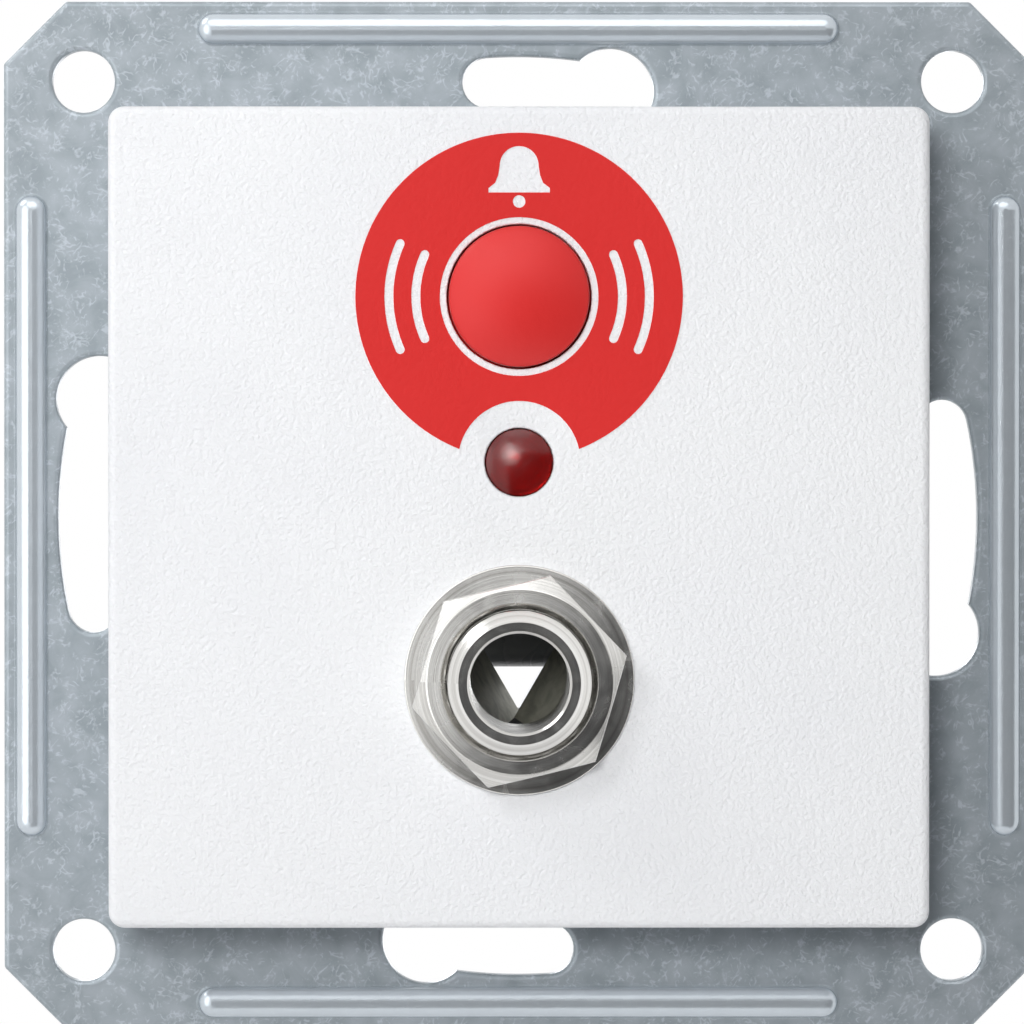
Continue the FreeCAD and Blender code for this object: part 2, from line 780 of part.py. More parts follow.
def dome(body, radius, crown, edge):
    """Turns the flat top of a round piece into part of a ball that meets its side at edge."""
    sketch = new_sketch(body, "dome_above", role="XZ_Plane")
    rise = crown - edge
    ball = (radius * radius + rise * rise) / (rise * 2)
    outside = radius + "tool_overrun"
    top = crown + "tool_overrun"
    centre_height = crown - ball
    whole = Part.Circle(
        FreeCAD.Vector(0, centre_height.number, 0), FreeCAD.Vector(0, 0, 1), ball.number)
    start = math.atan2((edge - centre_height).number, radius.number)
    arc = sketch.addGeometry(Part.ArcOfCircle(whole, start, math.pi / 2), False)
    corners = [(0.0, top), (outside, top), (outside, edge)]
    points = [sketch.getPoint(arc, 2)]
    points += [FreeCAD.Vector(size(x).number, size(y).number, 0) for x, y in corners]
    points.append(sketch.getPoint(arc, 1))
    lines = [
        sketch.addGeometry(Part.LineSegment(a, b), False)
        for a, b in zip(points, points[1:])
    ]
    sketch.addConstraint(Sketcher.Constraint("Coincident", arc, 2, lines[0], 1))
    for line, following in zip(lines, lines[1:]):
        sketch.addConstraint(Sketcher.Constraint("Coincident", line, 2, following, 1))
    sketch.addConstraint(Sketcher.Constraint("Coincident", lines[-1], 2, arc, 1))
    place_point(sketch, arc, 3, 0.0, centre_height)
    for line, (x, y) in zip(lines, corners):
        place_point(sketch, line, 2, x, y)
    place_point(sketch, arc, 2, 0.0, crown)
    rule = Sketcher.Constraint("DistanceX", -1, 1, arc, 1, radius.number)
    index = sketch.addConstraint(rule)
    sketch.setExpression(f"Constraints[{index}]", radius.text)
    return groove(body, sketch)


def make_return_spring():
    """A coil of round wire between the board and the underside of the button's flange."""
    wire = size("spring_wire_radius")
    seat = size("board_back") + "board_thickness"
    flange = size("plate_front") - "plate_wall" - "button_flange_thickness"
    gap = 0.02
    rise = flange - seat - wire * 2 - 2 * gap
    helix = document.addObject("Part::Helix", "spring_line")
    bind(helix, "Radius", "spring_mean_radius")
    bind(helix, "Height", rise)
    bind(helix, "Pitch", rise / "spring_turns")
    section = document.addObject("Part::Circle", "spring_section")
    bind(section, "Radius", wire)
    section.Placement = FreeCAD.Placement(
        FreeCAD.Vector(size("spring_mean_radius").number, 0, 0),
        FreeCAD.Rotation(FreeCAD.Vector(1, 0, 0), 90),
    )
    bind(section, "Placement.Base.x", "spring_mean_radius")
    spring = document.addObject("Part::Sweep", "return_spring")
    spring.Sections = [section]
    spring.Spine = (helix, ["Edge1"])
    spring.Solid = True
    spring.Frenet = True
    spring.Label = "return_spring"
    start = seat + wire + gap
    upright = FreeCAD.Rotation(FreeCAD.Vector(1, 0, 0), 90)
    centre = FreeCAD.Vector(0, -start.number, size("button_above_centre").number)
    spring.Placement = FreeCAD.Placement(centre, upright)
    bind(spring, "Placement.Base.y", -start)
    bind(spring, "Placement.Base.z", "button_above_centre")


def make_switch():
    board = size("board_back") + "board_thickness"
    half = size("switch_width") / 2
    base = new_body("switch_base", 0.0, "button_above_centre")
    case = new_sketch(base, "switch_case", board)
    rectangle(case, -half, -half, half, half)
    pad(base, case, size("switch_base_top") - board)
    well = new_sketch(base, "switch_well", "switch_base_top")
    circle(well, 0.0, 0.0, "switch_cavity_radius")
    pocket(base, well, size("switch_base_top") - "switch_floor")

    cover = new_body("switch_cover", 0.0, "button_above_centre")
    lid = new_sketch(cover, "switch_lid", "switch_base_top")
    rectangle(lid, -half, -half, half, half)
    circle(lid, 0.0, 0.0, "switch_cover_hole_radius")
    pad(cover, lid, size("switch_cover_top") - "switch_base_top")

    plunger = new_body("switch_plunger", 0.0, "button_above_centre")
    bottom = size("plunger_bottom")
    shoulder = bottom + "plunger_flange_thickness"
    turned(plunger, "plunger_profile", [
        (0.0, bottom), ("plunger_flange_radius", bottom), ("plunger_flange_radius", shoulder),
        ("plunger_radius", shoulder), ("plunger_radius", "button_stem_end"),
        (0.0, "button_stem_end"),
    ])

    dome = new_body("switch_dome", 0.0, "button_above_centre")
    apex, thin = size("dome_apex"), size("dome_thickness")
    floor, edge = size("switch_floor"), size("dome_radius")
    middle = edge * 0.55
    shoulder_height = apex - (apex - floor) * 0.3
    turned(dome, "dome_profile", [
        (0.0, apex), (middle, shoulder_height), (edge, floor + thin), (edge, floor),
        (middle, shoulder_height - thin), (0.0, apex - thin),
    ])

    legs = new_body("switch_legs", 0.0, "button_above_centre")
    width = size("switch_leg_width") / 2
    for x_side in (-1.0, 1.0):
        for y_side in (-1.0, 1.0):
            leg = new_sketch(legs, "switch_leg", board)
            y = size("switch_leg_offset") * y_side
            near, far = half * x_side, size("switch_leg_reach") * x_side
            low_x, high_x = (near, far) if x_side > 0 else (far, near)
            rectangle(leg, low_x, y - width, high_x, y + width)
            pad(legs, leg, 0.25)


# Indicator


def make_indicator():
    lens = new_body("indicator_lens", 0.0, "lens_above_centre")
    underside = size("plate_front") - "plate_wall"
    radius, flange = size("lens_radius"), size("lens_flange_radius")
    crown, inner = size("lens_dome_height"), size("lens_inner_radius")
    turned(lens, "lens_profile", [
        (0.0, crown), (radius, crown), (radius, underside), (flange, underside),
        (flange, "lens_end"), (inner, "lens_end"), (inner, underside), (0.0, "lens_inner_height"),
    ])
    dome(lens, radius, crown, size("lens_edge_height"))
    lamp = new_body("indicator_led", 0.0, "lens_above_centre")
    bulb, rim = size("lamp_radius"), size("lamp_flange_radius")
    top = size("lamp_top")
    turned(lamp, "lamp_profile", [
        (0.0, "lamp_bottom"), (rim, "lamp_bottom"), (rim, "lamp_flange_top"),
        (bulb, "lamp_flange_top"), (bulb, top), (0.0, top),
    ])
    dome(lamp, bulb, top, top - "lamp_dome_rise")
    legs = new_body("led_legs", 0.0, "lens_above_centre")
    run = new_sketch(legs, "led_leg", "lamp_bottom")
    half = size("lamp_leg_width") / 2
    for side in (-1.0, 1.0):
        x = size("lamp_leg_offset") * side
        rectangle(run, x - half, -half, x + half, half)
    pad(legs, run, size("lamp_bottom") - "lead_end", towards_wall=True)


# Circuit board and what is soldered to it


def pole_places():
    """The x of each terminal, from left to right."""
    count = int(size("pole_count").number)
    return [size("pole_spacing") * (pole - (count - 1) / 2) for pole in range(count)]


def screw_places():
    x = size("board_screw_offset_x")
    rows = (size("board_screw_upper"), size("board_screw_lower"))
    return [(side, y) for side in (-x, x) for y in rows]


leaded_parts = (
    ("board_resistors", "resistor_radius", "resistor_length", ((-1, 4.8), (-1, 1.4), (1, 4.8))),
    ("board_diodes", "diode_radius", "diode_length", ((1, 1.6), (1, -1.4))),
)


def make_circuit_board():
    body = new_body("circuit_board")
    front = size("board_back") + "board_thickness"
    blank = new_sketch(body, "board_blank", "board_back")
    outline(blank, cut_square("board_half", "board_sum"))
    pad(body, blank, "board_thickness")
    holes = new_sketch(body, "board_holes", front)
    circle(holes, 0.0, "jack_below_centre", "board_jack_hole_radius")
    for x, y in screw_places():
        circle(holes, x, y, "board_screw_hole_radius")
    for x in pole_places():
        circle(holes, x, "pin_row", "pin_hole_radius")
    for side in (-1.0, 1.0):
        circle(holes, size("lamp_leg_offset") * side, "lens_above_centre", "lead_hole_radius")
    for _, _, _, places in leaded_parts:
        for side, y in places:
            for end in (-0.5, 0.5):
                x = size("leaded_part_offset") * side + size("lead_span") * end
                circle(holes, x, y, "lead_hole_radius")
    pocket(body, holes, "board_thickness")
    tag_slot = new_sketch(body, "tag_slot", front)
    middle = size("jack_below_centre") + "tag_leg_radius" - size("tag_thickness") / 2
    half_width = size("tag_leg_width") / 2 + "tag_slot_gap"
    half_depth = size("tag_thickness") / 2 + "tag_slot_gap"
    rectangle(tag_slot, -half_width, middle - half_depth, half_width, middle + half_depth)
    pocket(body, tag_slot, "board_thickness")


def make_leaded_parts():
    """Round bodies lying on the board, each with two wires bent down through it."""
    board = size("board_back") + "board_thickness"
    for name, radius, length, places in leaded_parts:
        radius, length = size(radius), size(length)
        height = board + radius + "leaded_part_gap"
        wire, span = size("lead_radius"), size("lead_span")
        body = new_body(name)
        for side, y in places:
            middle = size("leaded_part_offset") * side
            across = new_sketch(body, name + "_bar", role="YZ_Plane")
            circle(across, y, height, radius)
            bind(across, "AttachmentOffset.Base.z", middle)
            pad_both_ways(body, across, length)
            line = new_sketch(body, name + "_wire", role="YZ_Plane")
            circle(line, y, height, wire)
            bind(line, "AttachmentOffset.Base.z", middle)
            pad_both_ways(body, line, span + wire * 2)
            legs = new_sketch(body, name + "_leg", height)
            for end in (-0.5, 0.5):
                circle(legs, middle + span * end, y, wire)
            pad(body, legs, height - "lead_end", towards_wall=True)


def make_board_screws():
    body = new_body("board_screws")
    board = size("board_back") + "board_thickness"
    heads = new_sketch(body, "screw_heads", board)
    shanks = new_sketch(body, "screw_shanks", board)
    for x, y in screw_places():
        circle(heads, x, y, "board_screw_head_radius")
        circle(shanks, x, y, "board_screw_radius")
    pad(body, heads, "board_screw_head_height")
    pad(body, shanks, board - "board_screw_end", towards_wall=True)
    top = board + "board_screw_head_height"
    cross = new_sketch(body, "screw_recess", top)
    arm, half = size("board_screw_cross_reach"), size("board_screw_cross_half")
    corners = [
        (arm, -half), (arm, half), (half, half), (half, arm), (-half, arm), (-half, half),
        (-arm, half), (-arm, -half), (-half, -half), (-half, -arm), (half, -arm), (half, -half),
    ]
    for x, y in screw_places():
        outline(cross, [(x + dx, y + dy) for dx, dy in corners])
    pocket(body, cross, "board_screw_cross_depth")


# Insert housing


def make_insert_housing():
    body = new_body("insert_housing")
    back, rim, wall = size("housing_back"), size("housing_rim"), size("housing_wall")
    half, total = size("housing_half"), size("housing_sum")
    tub = new_sketch(body, "housing_tub", back)
    outline(tub, cut_square(half, total))
    pad(body, tub, rim - back)
    flange = new_sketch(body, "housing_flange", "frame_sheet")
    flange_half = size("housing_flange_half")
    rest = flange_half - "housing_flange_corner"
    side = [(flange_half, -rest), (flange_half, rest)]
    outline(flange, notched_square(side, size("housing_notch_reach"), "frame_notch_width"))
    pad(body, flange, "housing_flange_thickness")

    hollow = new_sketch(body, "housing_hollow", rim)
    outline(hollow, cut_square(half - wall, total - wall * math.sqrt(2.0)))
    pocket(body, hollow, rim - back - wall)

    floor = back + wall
    posts = new_sketch(body, "housing_posts", floor)
    for x, y in screw_places():
        circle(posts, x, y, "housing_post_radius")
    pad(body, posts, size("board_back") - floor)
    ledge = new_sketch(body, "housing_ledge", floor)
    ledge_half, ledge_top = size("housing_ledge_half"), half - wall / 2
    rectangle(ledge, -ledge_half, ledge_top - "housing_ledge_width", ledge_half, ledge_top)
    pad(body, ledge, size("board_back") - floor)
    post_holes = new_sketch(body, "housing_post_holes", "board_back")
    for x, y in screw_places():
        circle(post_holes, x, y, "housing_post_hole_radius")
    pocket(body, post_holes, size("board_back") - floor)

    windows = new_sketch(body, "housing_windows", floor)
    circle(windows, 0.0, "jack_below_centre", "housing_jack_hole_radius")
    gap = size("block_window_gap")
    length = size("block_half_length") + gap
    rectangle(windows, -length, size("block_lower") - gap, length, size("block_upper") + gap)
    pocket(body, windows, wall)

    hook_front = size("frame_seat_depth") - "housing_hook_gap"
    hooks = new_sketch(body, "housing_hooks", hook_front)
    reach, hook_half = size("housing_hook_reach"), size("housing_hook_width") / 2
    for sign in (-1.0, 1.0):
        y = size("housing_hook_offset") * sign
        rectangle(hooks, half - "tool_overrun", y - hook_half, reach, y + hook_half)
        rectangle(hooks, -reach, y - hook_half, -(half - "tool_overrun"), y + hook_half)
    hook_pad = pad(body, hooks, "housing_hook_length", towards_wall=True)
    hook_end = hook_front - "housing_hook_length"
    chamfer(
        body, hook_pad,
        lambda edge: is_level_at(edge, hook_end) and abs(reach_of(edge) - reach.number) < 1e-4,
        reach - half - "edge_land",
    )


# Jack socket


def make_jack_front():
    front = size("plate_front")
    underside = front - "plate_wall"
    end, bore = size("jack_end"), size("jack_bore_radius")
    thread, bevel = size("jack_thread_radius"), size("jack_end_chamfer")
    bushing = new_body("jack_bushing", 0.0, "jack_below_centre")
    turned(bushing, "bushing_profile", [
        (bore, "jack_spigot_end"), ("jack_spigot_radius", "jack_spigot_end"),
        ("jack_spigot_radius", "jack_flange_back"), ("jack_flange_radius", "jack_flange_back"),
        ("jack_flange_radius", underside), (thread, underside), (thread, end - bevel),
        (thread - bevel, end), ("jack_mouth_radius", end), (bore, end - "jack_mouth_depth"),
    ])

    washer = new_body("jack_washer", 0.0, "jack_below_centre")
    flat = new_sketch(washer, "washer_flat", front)
    circle(flat, 0.0, 0.0, "washer_radius")
    circle(flat, 0.0, 0.0, "jack_hole_radius")
    disc = pad(washer, flat, "washer_thickness")
    washer_top = front + "washer_thickness"
    fillet(
        washer, disc,
        lambda edge: is_level_at(edge, washer_top) and edge.BoundBox.XLength > 14.0,
        "washer_rounding",
    )

    nut = new_body("jack_nut", 0.0, "jack_below_centre")
    corner = size("nut_across_flats") / 2 / cosine(30.0)
    hexagon = new_sketch(nut, "nut_hexagon", washer_top)
    turn = size("nut_turn")
    outline(hexagon, [
        (corner * cosine(turn + 60.0 * step), corner * sine(turn + 60.0 * step))
        for step in range(6)
    ])
    circle(hexagon, 0.0, 0.0, "nut_bore_radius")
    pad(nut, hexagon, "nut_thickness")
    nut_top = washer_top + "nut_thickness"
    face = size("nut_face_radius")
    outside = corner + "tool_overrun"
    drop = (outside - face) * tangent("nut_chamfer_angle")
    for name, level, away in (("front", nut_top, drop), ("back", washer_top, -drop)):
        bevel_sketch = new_sketch(nut, "nut_bevel_" + name, role="XZ_Plane")
        outline(bevel_sketch, [(face, level), (outside, level), (outside, level - away)])
        groove(nut, bevel_sketch)


def make_jack_ground_tag():
    """A ring under the bushing's flange with one leg bent back through the board."""
    body = new_body("jack_ground_tag", 0.0, "jack_below_centre")
    thick, reach = size("tag_thickness"), size("tag_leg_radius")
    top = size("jack_flange_back")
    half = size("tag_leg_width") / 2
    ring = new_sketch(body, "tag_ring", top)
    circle(ring, 0.0, 0.0, "tag_outer_radius")
    circle(ring, 0.0, 0.0, "tag_inner_radius")
    pad(body, ring, thick, towards_wall=True)
    tongue = new_sketch(body, "tag_tongue", top)
    rectangle(tongue, -half, size("tag_outer_radius") - "tool_overrun", half, reach)
    pad(body, tongue, thick, towards_wall=True)
    leg = new_sketch(body, "tag_leg", top)
    rectangle(leg, -half, reach - thick, half, reach)
    pad(body, leg, top - "tag_leg_end", towards_wall=True)


def make_jack_carrier():
    """A tube whose end wall stops the plug, with a port in its lower half and a window for
    each contact blade."""
    body = new_body("jack_carrier", 0.0, "jack_below_centre")
    front = size("jack_flange_back") - "tag_thickness"
    back, bore = size("carrier_back"), size("carrier_bore_radius")
    spigot_end = size("jack_spigot_end")
    stop = back + "carrier_stop_thickness"
    turned(body, "carrier_profile", [
        (0.0, back), ("carrier_radius", back), ("carrier_radius", front),
        ("carrier_socket_radius", front), ("carrier_socket_radius", spigot_end),
        (bore, spigot_end), (bore, stop), (0.0, stop),
    ])
    port = new_sketch(body, "carrier_port", stop)
    half, top = size("carrier_port_half_width"), size("carrier_port_top")
    rectangle(port, -half, "carrier_port_bottom", half, top)
    opened = pocket(body, port, size("carrier_stop_thickness") + "tool_overrun")
    fillet(
        body, opened,
        lambda edge: edge.BoundBox.XLength > half.number and edge.BoundBox.YLength < 1e-5
        and is_level_at(edge, stop.number) and abs(edge.BoundBox.YMin - top.number) < 1e-4,
        "carrier_port_rounding",
    )
    for blade in ("ring", "tip"):
        angle = f"{blade}_blade_angle"
        window = new_sketch(body, f"{blade}_window", "board_back", turn=angle)
        half = size("carrier_window_width") / 2
        outside = size("carrier_radius") + "tool_overrun"
        rectangle(window, "carrier_window_inner", -half, outside, half)
        pocket(body, window, size("board_back") - "carrier_window_end")


def make_jack_blades():
    """Contact blades: each foot lies on the back of the board, and the blade slants in
    towards the bore to its crest and then turns out again."""
    for blade in ("ring", "tip"):
        body = new_body(f"jack_{blade}_spring", 0.0, "jack_below_centre")
        crest = size(f"{blade}_blade_crest_radius")
        crest_height = size(f"{blade}_blade_crest_height")
        tip, tip_height = size(f"{blade}_blade_tip_radius"), size(f"{blade}_blade_tip_height")
        root, foot = size("blade_root_radius"), size("blade_foot_reach")
        thick, slant = size("blade_thickness"), size("blade_slant_thickness")
        board = size("board_back")
        profile = new_sketch(body, f"{blade}_blade", role="XZ_Plane")
        outline(profile, [
            (foot, board), (root, board), (crest, crest_height), (tip, tip_height),
            (tip + slant, tip_height), (crest + slant, crest_height),
            (root + slant, board - thick), (foot, board - thick),
        ])
        strip = pad_both_ways(body, profile, "blade_width")
        bends = (root.number, crest.number, crest.number + slant.number)
        rounded = fillet(
            body, strip,
            lambda edge: edge.BoundBox.YLength > 5.0 and edge.BoundBox.XLength < 1e-5
            and any(abs(edge.BoundBox.XMin - bend) < 1e-4 for bend in bends),
            "blade_bend",
        )
        turn = FreeCAD.Rotation(FreeCAD.Vector(0, 0, 1), size(f"{blade}_blade_angle").number)
        body.Placement = FreeCAD.Placement(
            body.Placement.Base, body.Placement.Rotation.multiply(turn))


# Terminal block


def make_terminal_block():
    body = new_body("terminal_block")
    board, back = size("board_back"), size("block_back")
    length, lower, upper = size("block_half_length"), size("block_lower"), size("block_upper")
    box = new_sketch(body, "block_box", board)
    rectangle(box, -length, lower, length, upper)
    block = pad(body, box, board - back, towards_wall=True)
    chamfer(
        body, block,
        lambda edge: is_level_at(edge, back) and abs(edge.BoundBox.YMax - upper.number) < 1e-4
        and edge.BoundBox.YLength < 1e-4,
        "block_chamfer",
    )
    shafts = new_sketch(body, "block_shafts", back)
    pin_holes = new_sketch(body, "block_pin_holes", board)
    entries = new_sketch(body, "block_entries", -upper, role="XZ_Plane")
    half_entry = size("entry_width") / 2
    for x in pole_places():
        circle(shafts, x, "screw_row", "screw_shaft_radius")
        circle(pin_holes, x, "pin_row", "pin_hole_radius")
        rectangle(entries, x - half_entry, "entry_low", x + half_entry, "entry_high")
    pocket(body, shafts, size("entry_low") - back + "edge_land", away_from_wall=True)
    pocket(body, pin_holes, board - "entry_high" + "edge_land")
    pocket(body, entries, upper - "entry_end", away_from_wall=True)


def make_terminal_metal():
    half = size("cage_half_width")
    low, high, wall = size("cage_back"), size("cage_front"), size("cage_wall")
    row = size("screw_row")
    near = row - size("cage_length") / 2
    far = row + size("cage_length") / 2
    cages = new_body("terminal_clamps")
    tubes = new_sketch(cages, "cage_tubes", -far, role="XZ_Plane")
    holes = new_sketch(cages, "cage_holes", low)
    screws = new_body("terminal_screws")
    heads = new_sketch(screws, "terminal_heads", "screw_head_back")
    shanks = new_sketch(screws, "terminal_shanks", "screw_head_front")
    cuts = new_sketch(screws, "terminal_slots", "screw_head_back")
    pins = new_body("terminal_pins")
    posts = new_sketch(pins, "terminal_pin", high)
    half_cut, half_pin = size("screw_slot_width") / 2, size("pin_width") / 2
    head = size("screw_head_radius")
    for x in pole_places():
        rectangle(tubes, x - half, low, x + half, high)
        rectangle(tubes, x - half + wall / 2, low + wall, x + half - wall / 2, high - wall)
        circle(holes, x, row, "cage_hole_radius")
        circle(heads, x, row, head)
        circle(shanks, x, row, "screw_radius")
        past = head + "edge_land"
        rectangle(cuts, x - past, row - half_cut, x + past, row + half_cut)
        pin_y = size("pin_row")
        rectangle(posts, x - half_pin, pin_y - half_pin, x + half_pin, pin_y + half_pin)
    pad(cages, tubes, far - near)
    pocket(cages, holes, wall + "edge_land", away_from_wall=True)
    pad(screws, heads, size("screw_head_front") - "screw_head_back")
    pad(screws, shanks, size("screw_front") - "screw_head_front")
    pocket(screws, cuts, "screw_slot_depth", away_from_wall=True)
    pad(pins, posts, size("pin_end") - high)


def main():
    make_support_frame()
    make_central_plate()
    make_call_symbol()
    make_button_cap()
    make_return_spring()
    make_switch()
    make_indicator()
    make_circuit_board()
    make_leaded_parts()
    make_board_screws()
    make_insert_housing()
    make_jack_front()
    make_jack_ground_tag()
    make_jack_carrier()
    make_jack_blades()
    make_terminal_block()
    make_terminal_metal()
    document.recompute()

    failed = [o.Name for o in document.Objects if "Invalid" in o.State or "Error" in o.State]
    if failed:
        raise RuntimeError("not built: " + ", ".join(failed))
    os.makedirs("parts", exist_ok=True)
    pieces = [o for o in document.Objects if o.TypeId in ("PartDesign::Body", "Part::Sweep")]
    for piece in pieces:
        shape = piece.Shape
        if shape.isNull() or not shape.isValid():
            raise RuntimeError("no good shape: " + piece.Label)
        shape.exportStep(f"parts/{piece.Label}.step")
        print(piece.Label, len(shape.Solids), "solid(s)", round(shape.Volume, 2), "mm3")


main()
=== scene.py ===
import math

import bmesh
import bpy
from mathutils import Matrix, Vector


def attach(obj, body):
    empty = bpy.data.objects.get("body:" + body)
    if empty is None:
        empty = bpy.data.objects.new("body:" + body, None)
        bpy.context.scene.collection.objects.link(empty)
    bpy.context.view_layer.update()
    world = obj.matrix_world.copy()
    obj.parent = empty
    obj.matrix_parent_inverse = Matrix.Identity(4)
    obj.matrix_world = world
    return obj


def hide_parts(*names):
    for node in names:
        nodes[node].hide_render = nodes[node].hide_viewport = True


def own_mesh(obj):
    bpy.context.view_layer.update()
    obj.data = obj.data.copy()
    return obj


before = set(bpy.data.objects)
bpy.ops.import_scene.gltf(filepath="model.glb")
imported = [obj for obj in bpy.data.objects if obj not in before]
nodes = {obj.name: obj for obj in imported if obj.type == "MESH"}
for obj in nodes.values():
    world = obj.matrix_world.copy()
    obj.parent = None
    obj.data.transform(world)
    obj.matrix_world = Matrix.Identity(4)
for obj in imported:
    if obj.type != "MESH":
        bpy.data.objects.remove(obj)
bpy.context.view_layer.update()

# Nurse call button with a jack socket. Shapes are drawn face up in millimetres as (x, up, front),
# where front is the distance before the wall, and are turned into the frame's metres at the end.

scene = bpy.context.scene
metresPerMm = 0.001
buttonCentre, lampCentre, jackCentre = (0.0, 14.76), (0.0, 3.69), (0.0, -10.86)
plateFront = 11.0
print("frame loaded with", len(nodes), "nodes")


def tint(red, green, blue):
    # a colour as seen on screen, 0 to 255, made linear
    parts = [part / 255 for part in (red, green, blue)]
    return [p / 12.92 if p <= 0.04045 else ((p + 0.055) / 1.055) ** 2.4 for p in parts] + [1.0]


def spot(point, front):
    return Vector((point[0], -front, point[1]))


def polar(radius, angle):
    return radius * math.cos(math.radians(angle)), radius * math.sin(math.radians(angle))


def bearing(centre, point):
    return math.degrees(math.atan2(point[1] - centre[1], point[0] - centre[0]))


# Loops of points, drawn face up

def arcPoints(centre, radius, first, last, steps):
    angles = [math.radians(first + (last - first) * step / steps) for step in range(steps + 1)]
    return [(centre[0] + radius * math.cos(a), centre[1] + radius * math.sin(a)) for a in angles]


def circleLoop(centre, radius, steps=96):
    return arcPoints(centre, radius, 0.0, 360.0, steps)[:-1]


def signedArea(loop):
    pairs = zip(loop, loop[1:] + loop[:1])
    return sum(a[0] * b[1] - b[0] * a[1] for a, b in pairs) / 2


def asOuter(loop):
    return loop if signedArea(loop) > 0 else loop[::-1]


def asHole(loop):
    return loop if signedArea(loop) < 0 else loop[::-1]


def insetLoop(loop, distance):
    # moves every point to the left of its way round, which is into the material
    moved = []
    for before, here, after in zip(loop[-1:] + loop[:-1], loop, loop[1:] + loop[:1]):
        first = Vector((here[0] - before[0], here[1] - before[1])).normalized()
        second = Vector((after[0] - here[0], after[1] - here[1])).normalized()
        left = Vector((-first.y - second.y, first.x + second.x))
        scale = distance / (1 + first.dot(second))
        moved.append((here[0] + left.x * scale, here[1] + left.y * scale))
    return moved


def roundedLoop(corners, radius, steps=6):
    # the corners' loop with each corner turned into an arc
    made = []
    for before, here, after in zip(corners[-1:] + corners[:-1], corners, corners[1:] + corners[:1]):
        corner = Vector(here)
        back = (Vector(before) - corner).normalized()
        ahead = (Vector(after) - corner).normalized()
        half = math.acos(max(-1.0, min(1.0, back.dot(ahead)))) / 2
        middle = corner + (back + ahead).normalized() * (radius / math.sin(half))
        reach = radius / math.tan(half)
        start, end = corner + back * reach - middle, corner + ahead * reach - middle
        turn = start.angle_signed(end)
        for step in range(steps + 1):
            made.append(tuple(middle + Matrix.Rotation(-turn * step / steps, 2) @ start))
    return made


def cutSquare(half, total):
    # a square whose corners are cut along x + y = total
    rest = total - half
    return quarterTurns([(half, -rest), (half, rest)])


def notchedSquare(half, total, notchReach, notchWidth):
    rest, notch = total - half, notchWidth / 2
    return quarterTurns([(half, -rest), (half, -notch), (notchReach, -notch), (notchReach, notch),
                         (half, notch), (half, rest)])


def quarterTurns(side):
    # the right-hand side's points, repeated on all four sides
    corners = []
    for _ in range(4):
        corners += side
        side = [(-y, x) for x, y in side]
    return corners


def stadiumLoop(centre, straight, radius, upright, steps=12):
    # a straight stretch with round ends
    ends = arcPoints((straight / 2, 0), radius, -90, 90, steps)
    ends += arcPoints((-straight / 2, 0), radius, 90, 270, steps)
    if upright:
        ends = [(-y, x) for x, y in ends]
    return [(centre[0] + x, centre[1] + y) for x, y in ends]


# Meshes from loops

def ringAt(bm, loop, front):
    return [bm.verts.new(spot(point, front)) for point in loop]


def joinRings(bm, one, other):
    count = len(one)
    for i in range(count):
        bm.faces.new((one[i], one[(i + 1) % count], other[(i + 1) % count], other[i]))


def joinAll(bm, rings):
    for one, other in zip(rings, rings[1:]):
        joinRings(bm, one, other)


def capEnds(bm, first, last):
    bm.faces.new(first)
    bm.faces.new(last[::-1])


def ringEdges(ring):
    edges = []
    for a, b in zip(ring, ring[1:] + ring[:1]):
        edges.append(next(edge for edge in a.link_edges if b in edge.verts))
    return edges


def fillFlat(bm, rings):
    edges = []
    for ring in rings:
        edges += ringEdges(ring)
    bmesh.ops.triangle_fill(bm, use_beauty=True, edges=edges, normal=(0, -1, 0))


def edgeRing(bm, loop, front, roll, depth, steps=5, limit=math.inf):
    # a rounded edge from the flat front down to the wall of the loop: returns the first and last ring
    rings = []
    for step in range(steps + 1):
        angle = math.pi / 2 * step / steps
        moved = insetLoop(loop, roll * (1 - math.sin(angle)))
        moved = [tuple(max(-limit, min(limit, part)) for part in point) for point in moved]
        rings.append(ringAt(bm, moved, front - depth * (1 - math.cos(angle))))
    joinAll(bm, rings)
    return rings[0], rings[-1]


def wallTo(bm, ring, front):
    lower = [bm.verts.new(Vector((v.co.x, -front, v.co.z))) for v in ring]
    joinRings(bm, ring, lower)
    return lower


def turnedMesh(profile, centre, steps=96, start=0.0, shift=None):
    # turns the closed profile of (radius, front) points about the line through centre, where shift
    # may give each point another radius and front
    bm = bmesh.new()
    angles = [math.radians(start) + 2 * math.pi * step / steps for step in range(steps)]
    rings = []
    for radius, front in profile:
        if radius == 0:
            rings.append([bm.verts.new(spot(centre, front))] * steps)
            continue
        ring = []
        for angle in angles:
            reach, level = shift(radius, front, angle) if shift else (radius, front)
            point = (centre[0] + reach * math.cos(angle), centre[1] + reach * math.sin(angle))
            ring.append(bm.verts.new(spot(point, level)))
        rings.append(ring)
    for one, other in zip(rings, rings[1:] + rings[:1]):
        for i in range(steps):
            j = (i + 1) % steps
            corners = dict.fromkeys((one[i], one[j], other[j], other[i]))
            if len(corners) > 2:
                bm.faces.new(corners)
    return bm


def addSlab(bm, corners, near, far):
    # a block with the outline of corners, from one distance before the wall to another
    front = ringAt(bm, corners, far)
    capEnds(bm, front, wallTo(bm, front, near))


def addSpunSlab(bm, corners, half, angle, centre=(0.0, 0.0)):
    # corners are (out, front) points in a plane through the line at centre, half is half the width
    spin = Matrix.Rotation(-math.radians(angle), 4, "Y")
    middle = spot(centre, 0.0)
    sides = [[bm.verts.new(middle + spin @ Vector((out, -front, side))) for out, front in corners]
             for side in (-half, half)]
    joinRings(bm, *sides)
    capEnds(bm, *sides)


def boxLoop(left, bottom, right, top):
    return [(left, bottom), (right, bottom), (right, top), (left, top)]


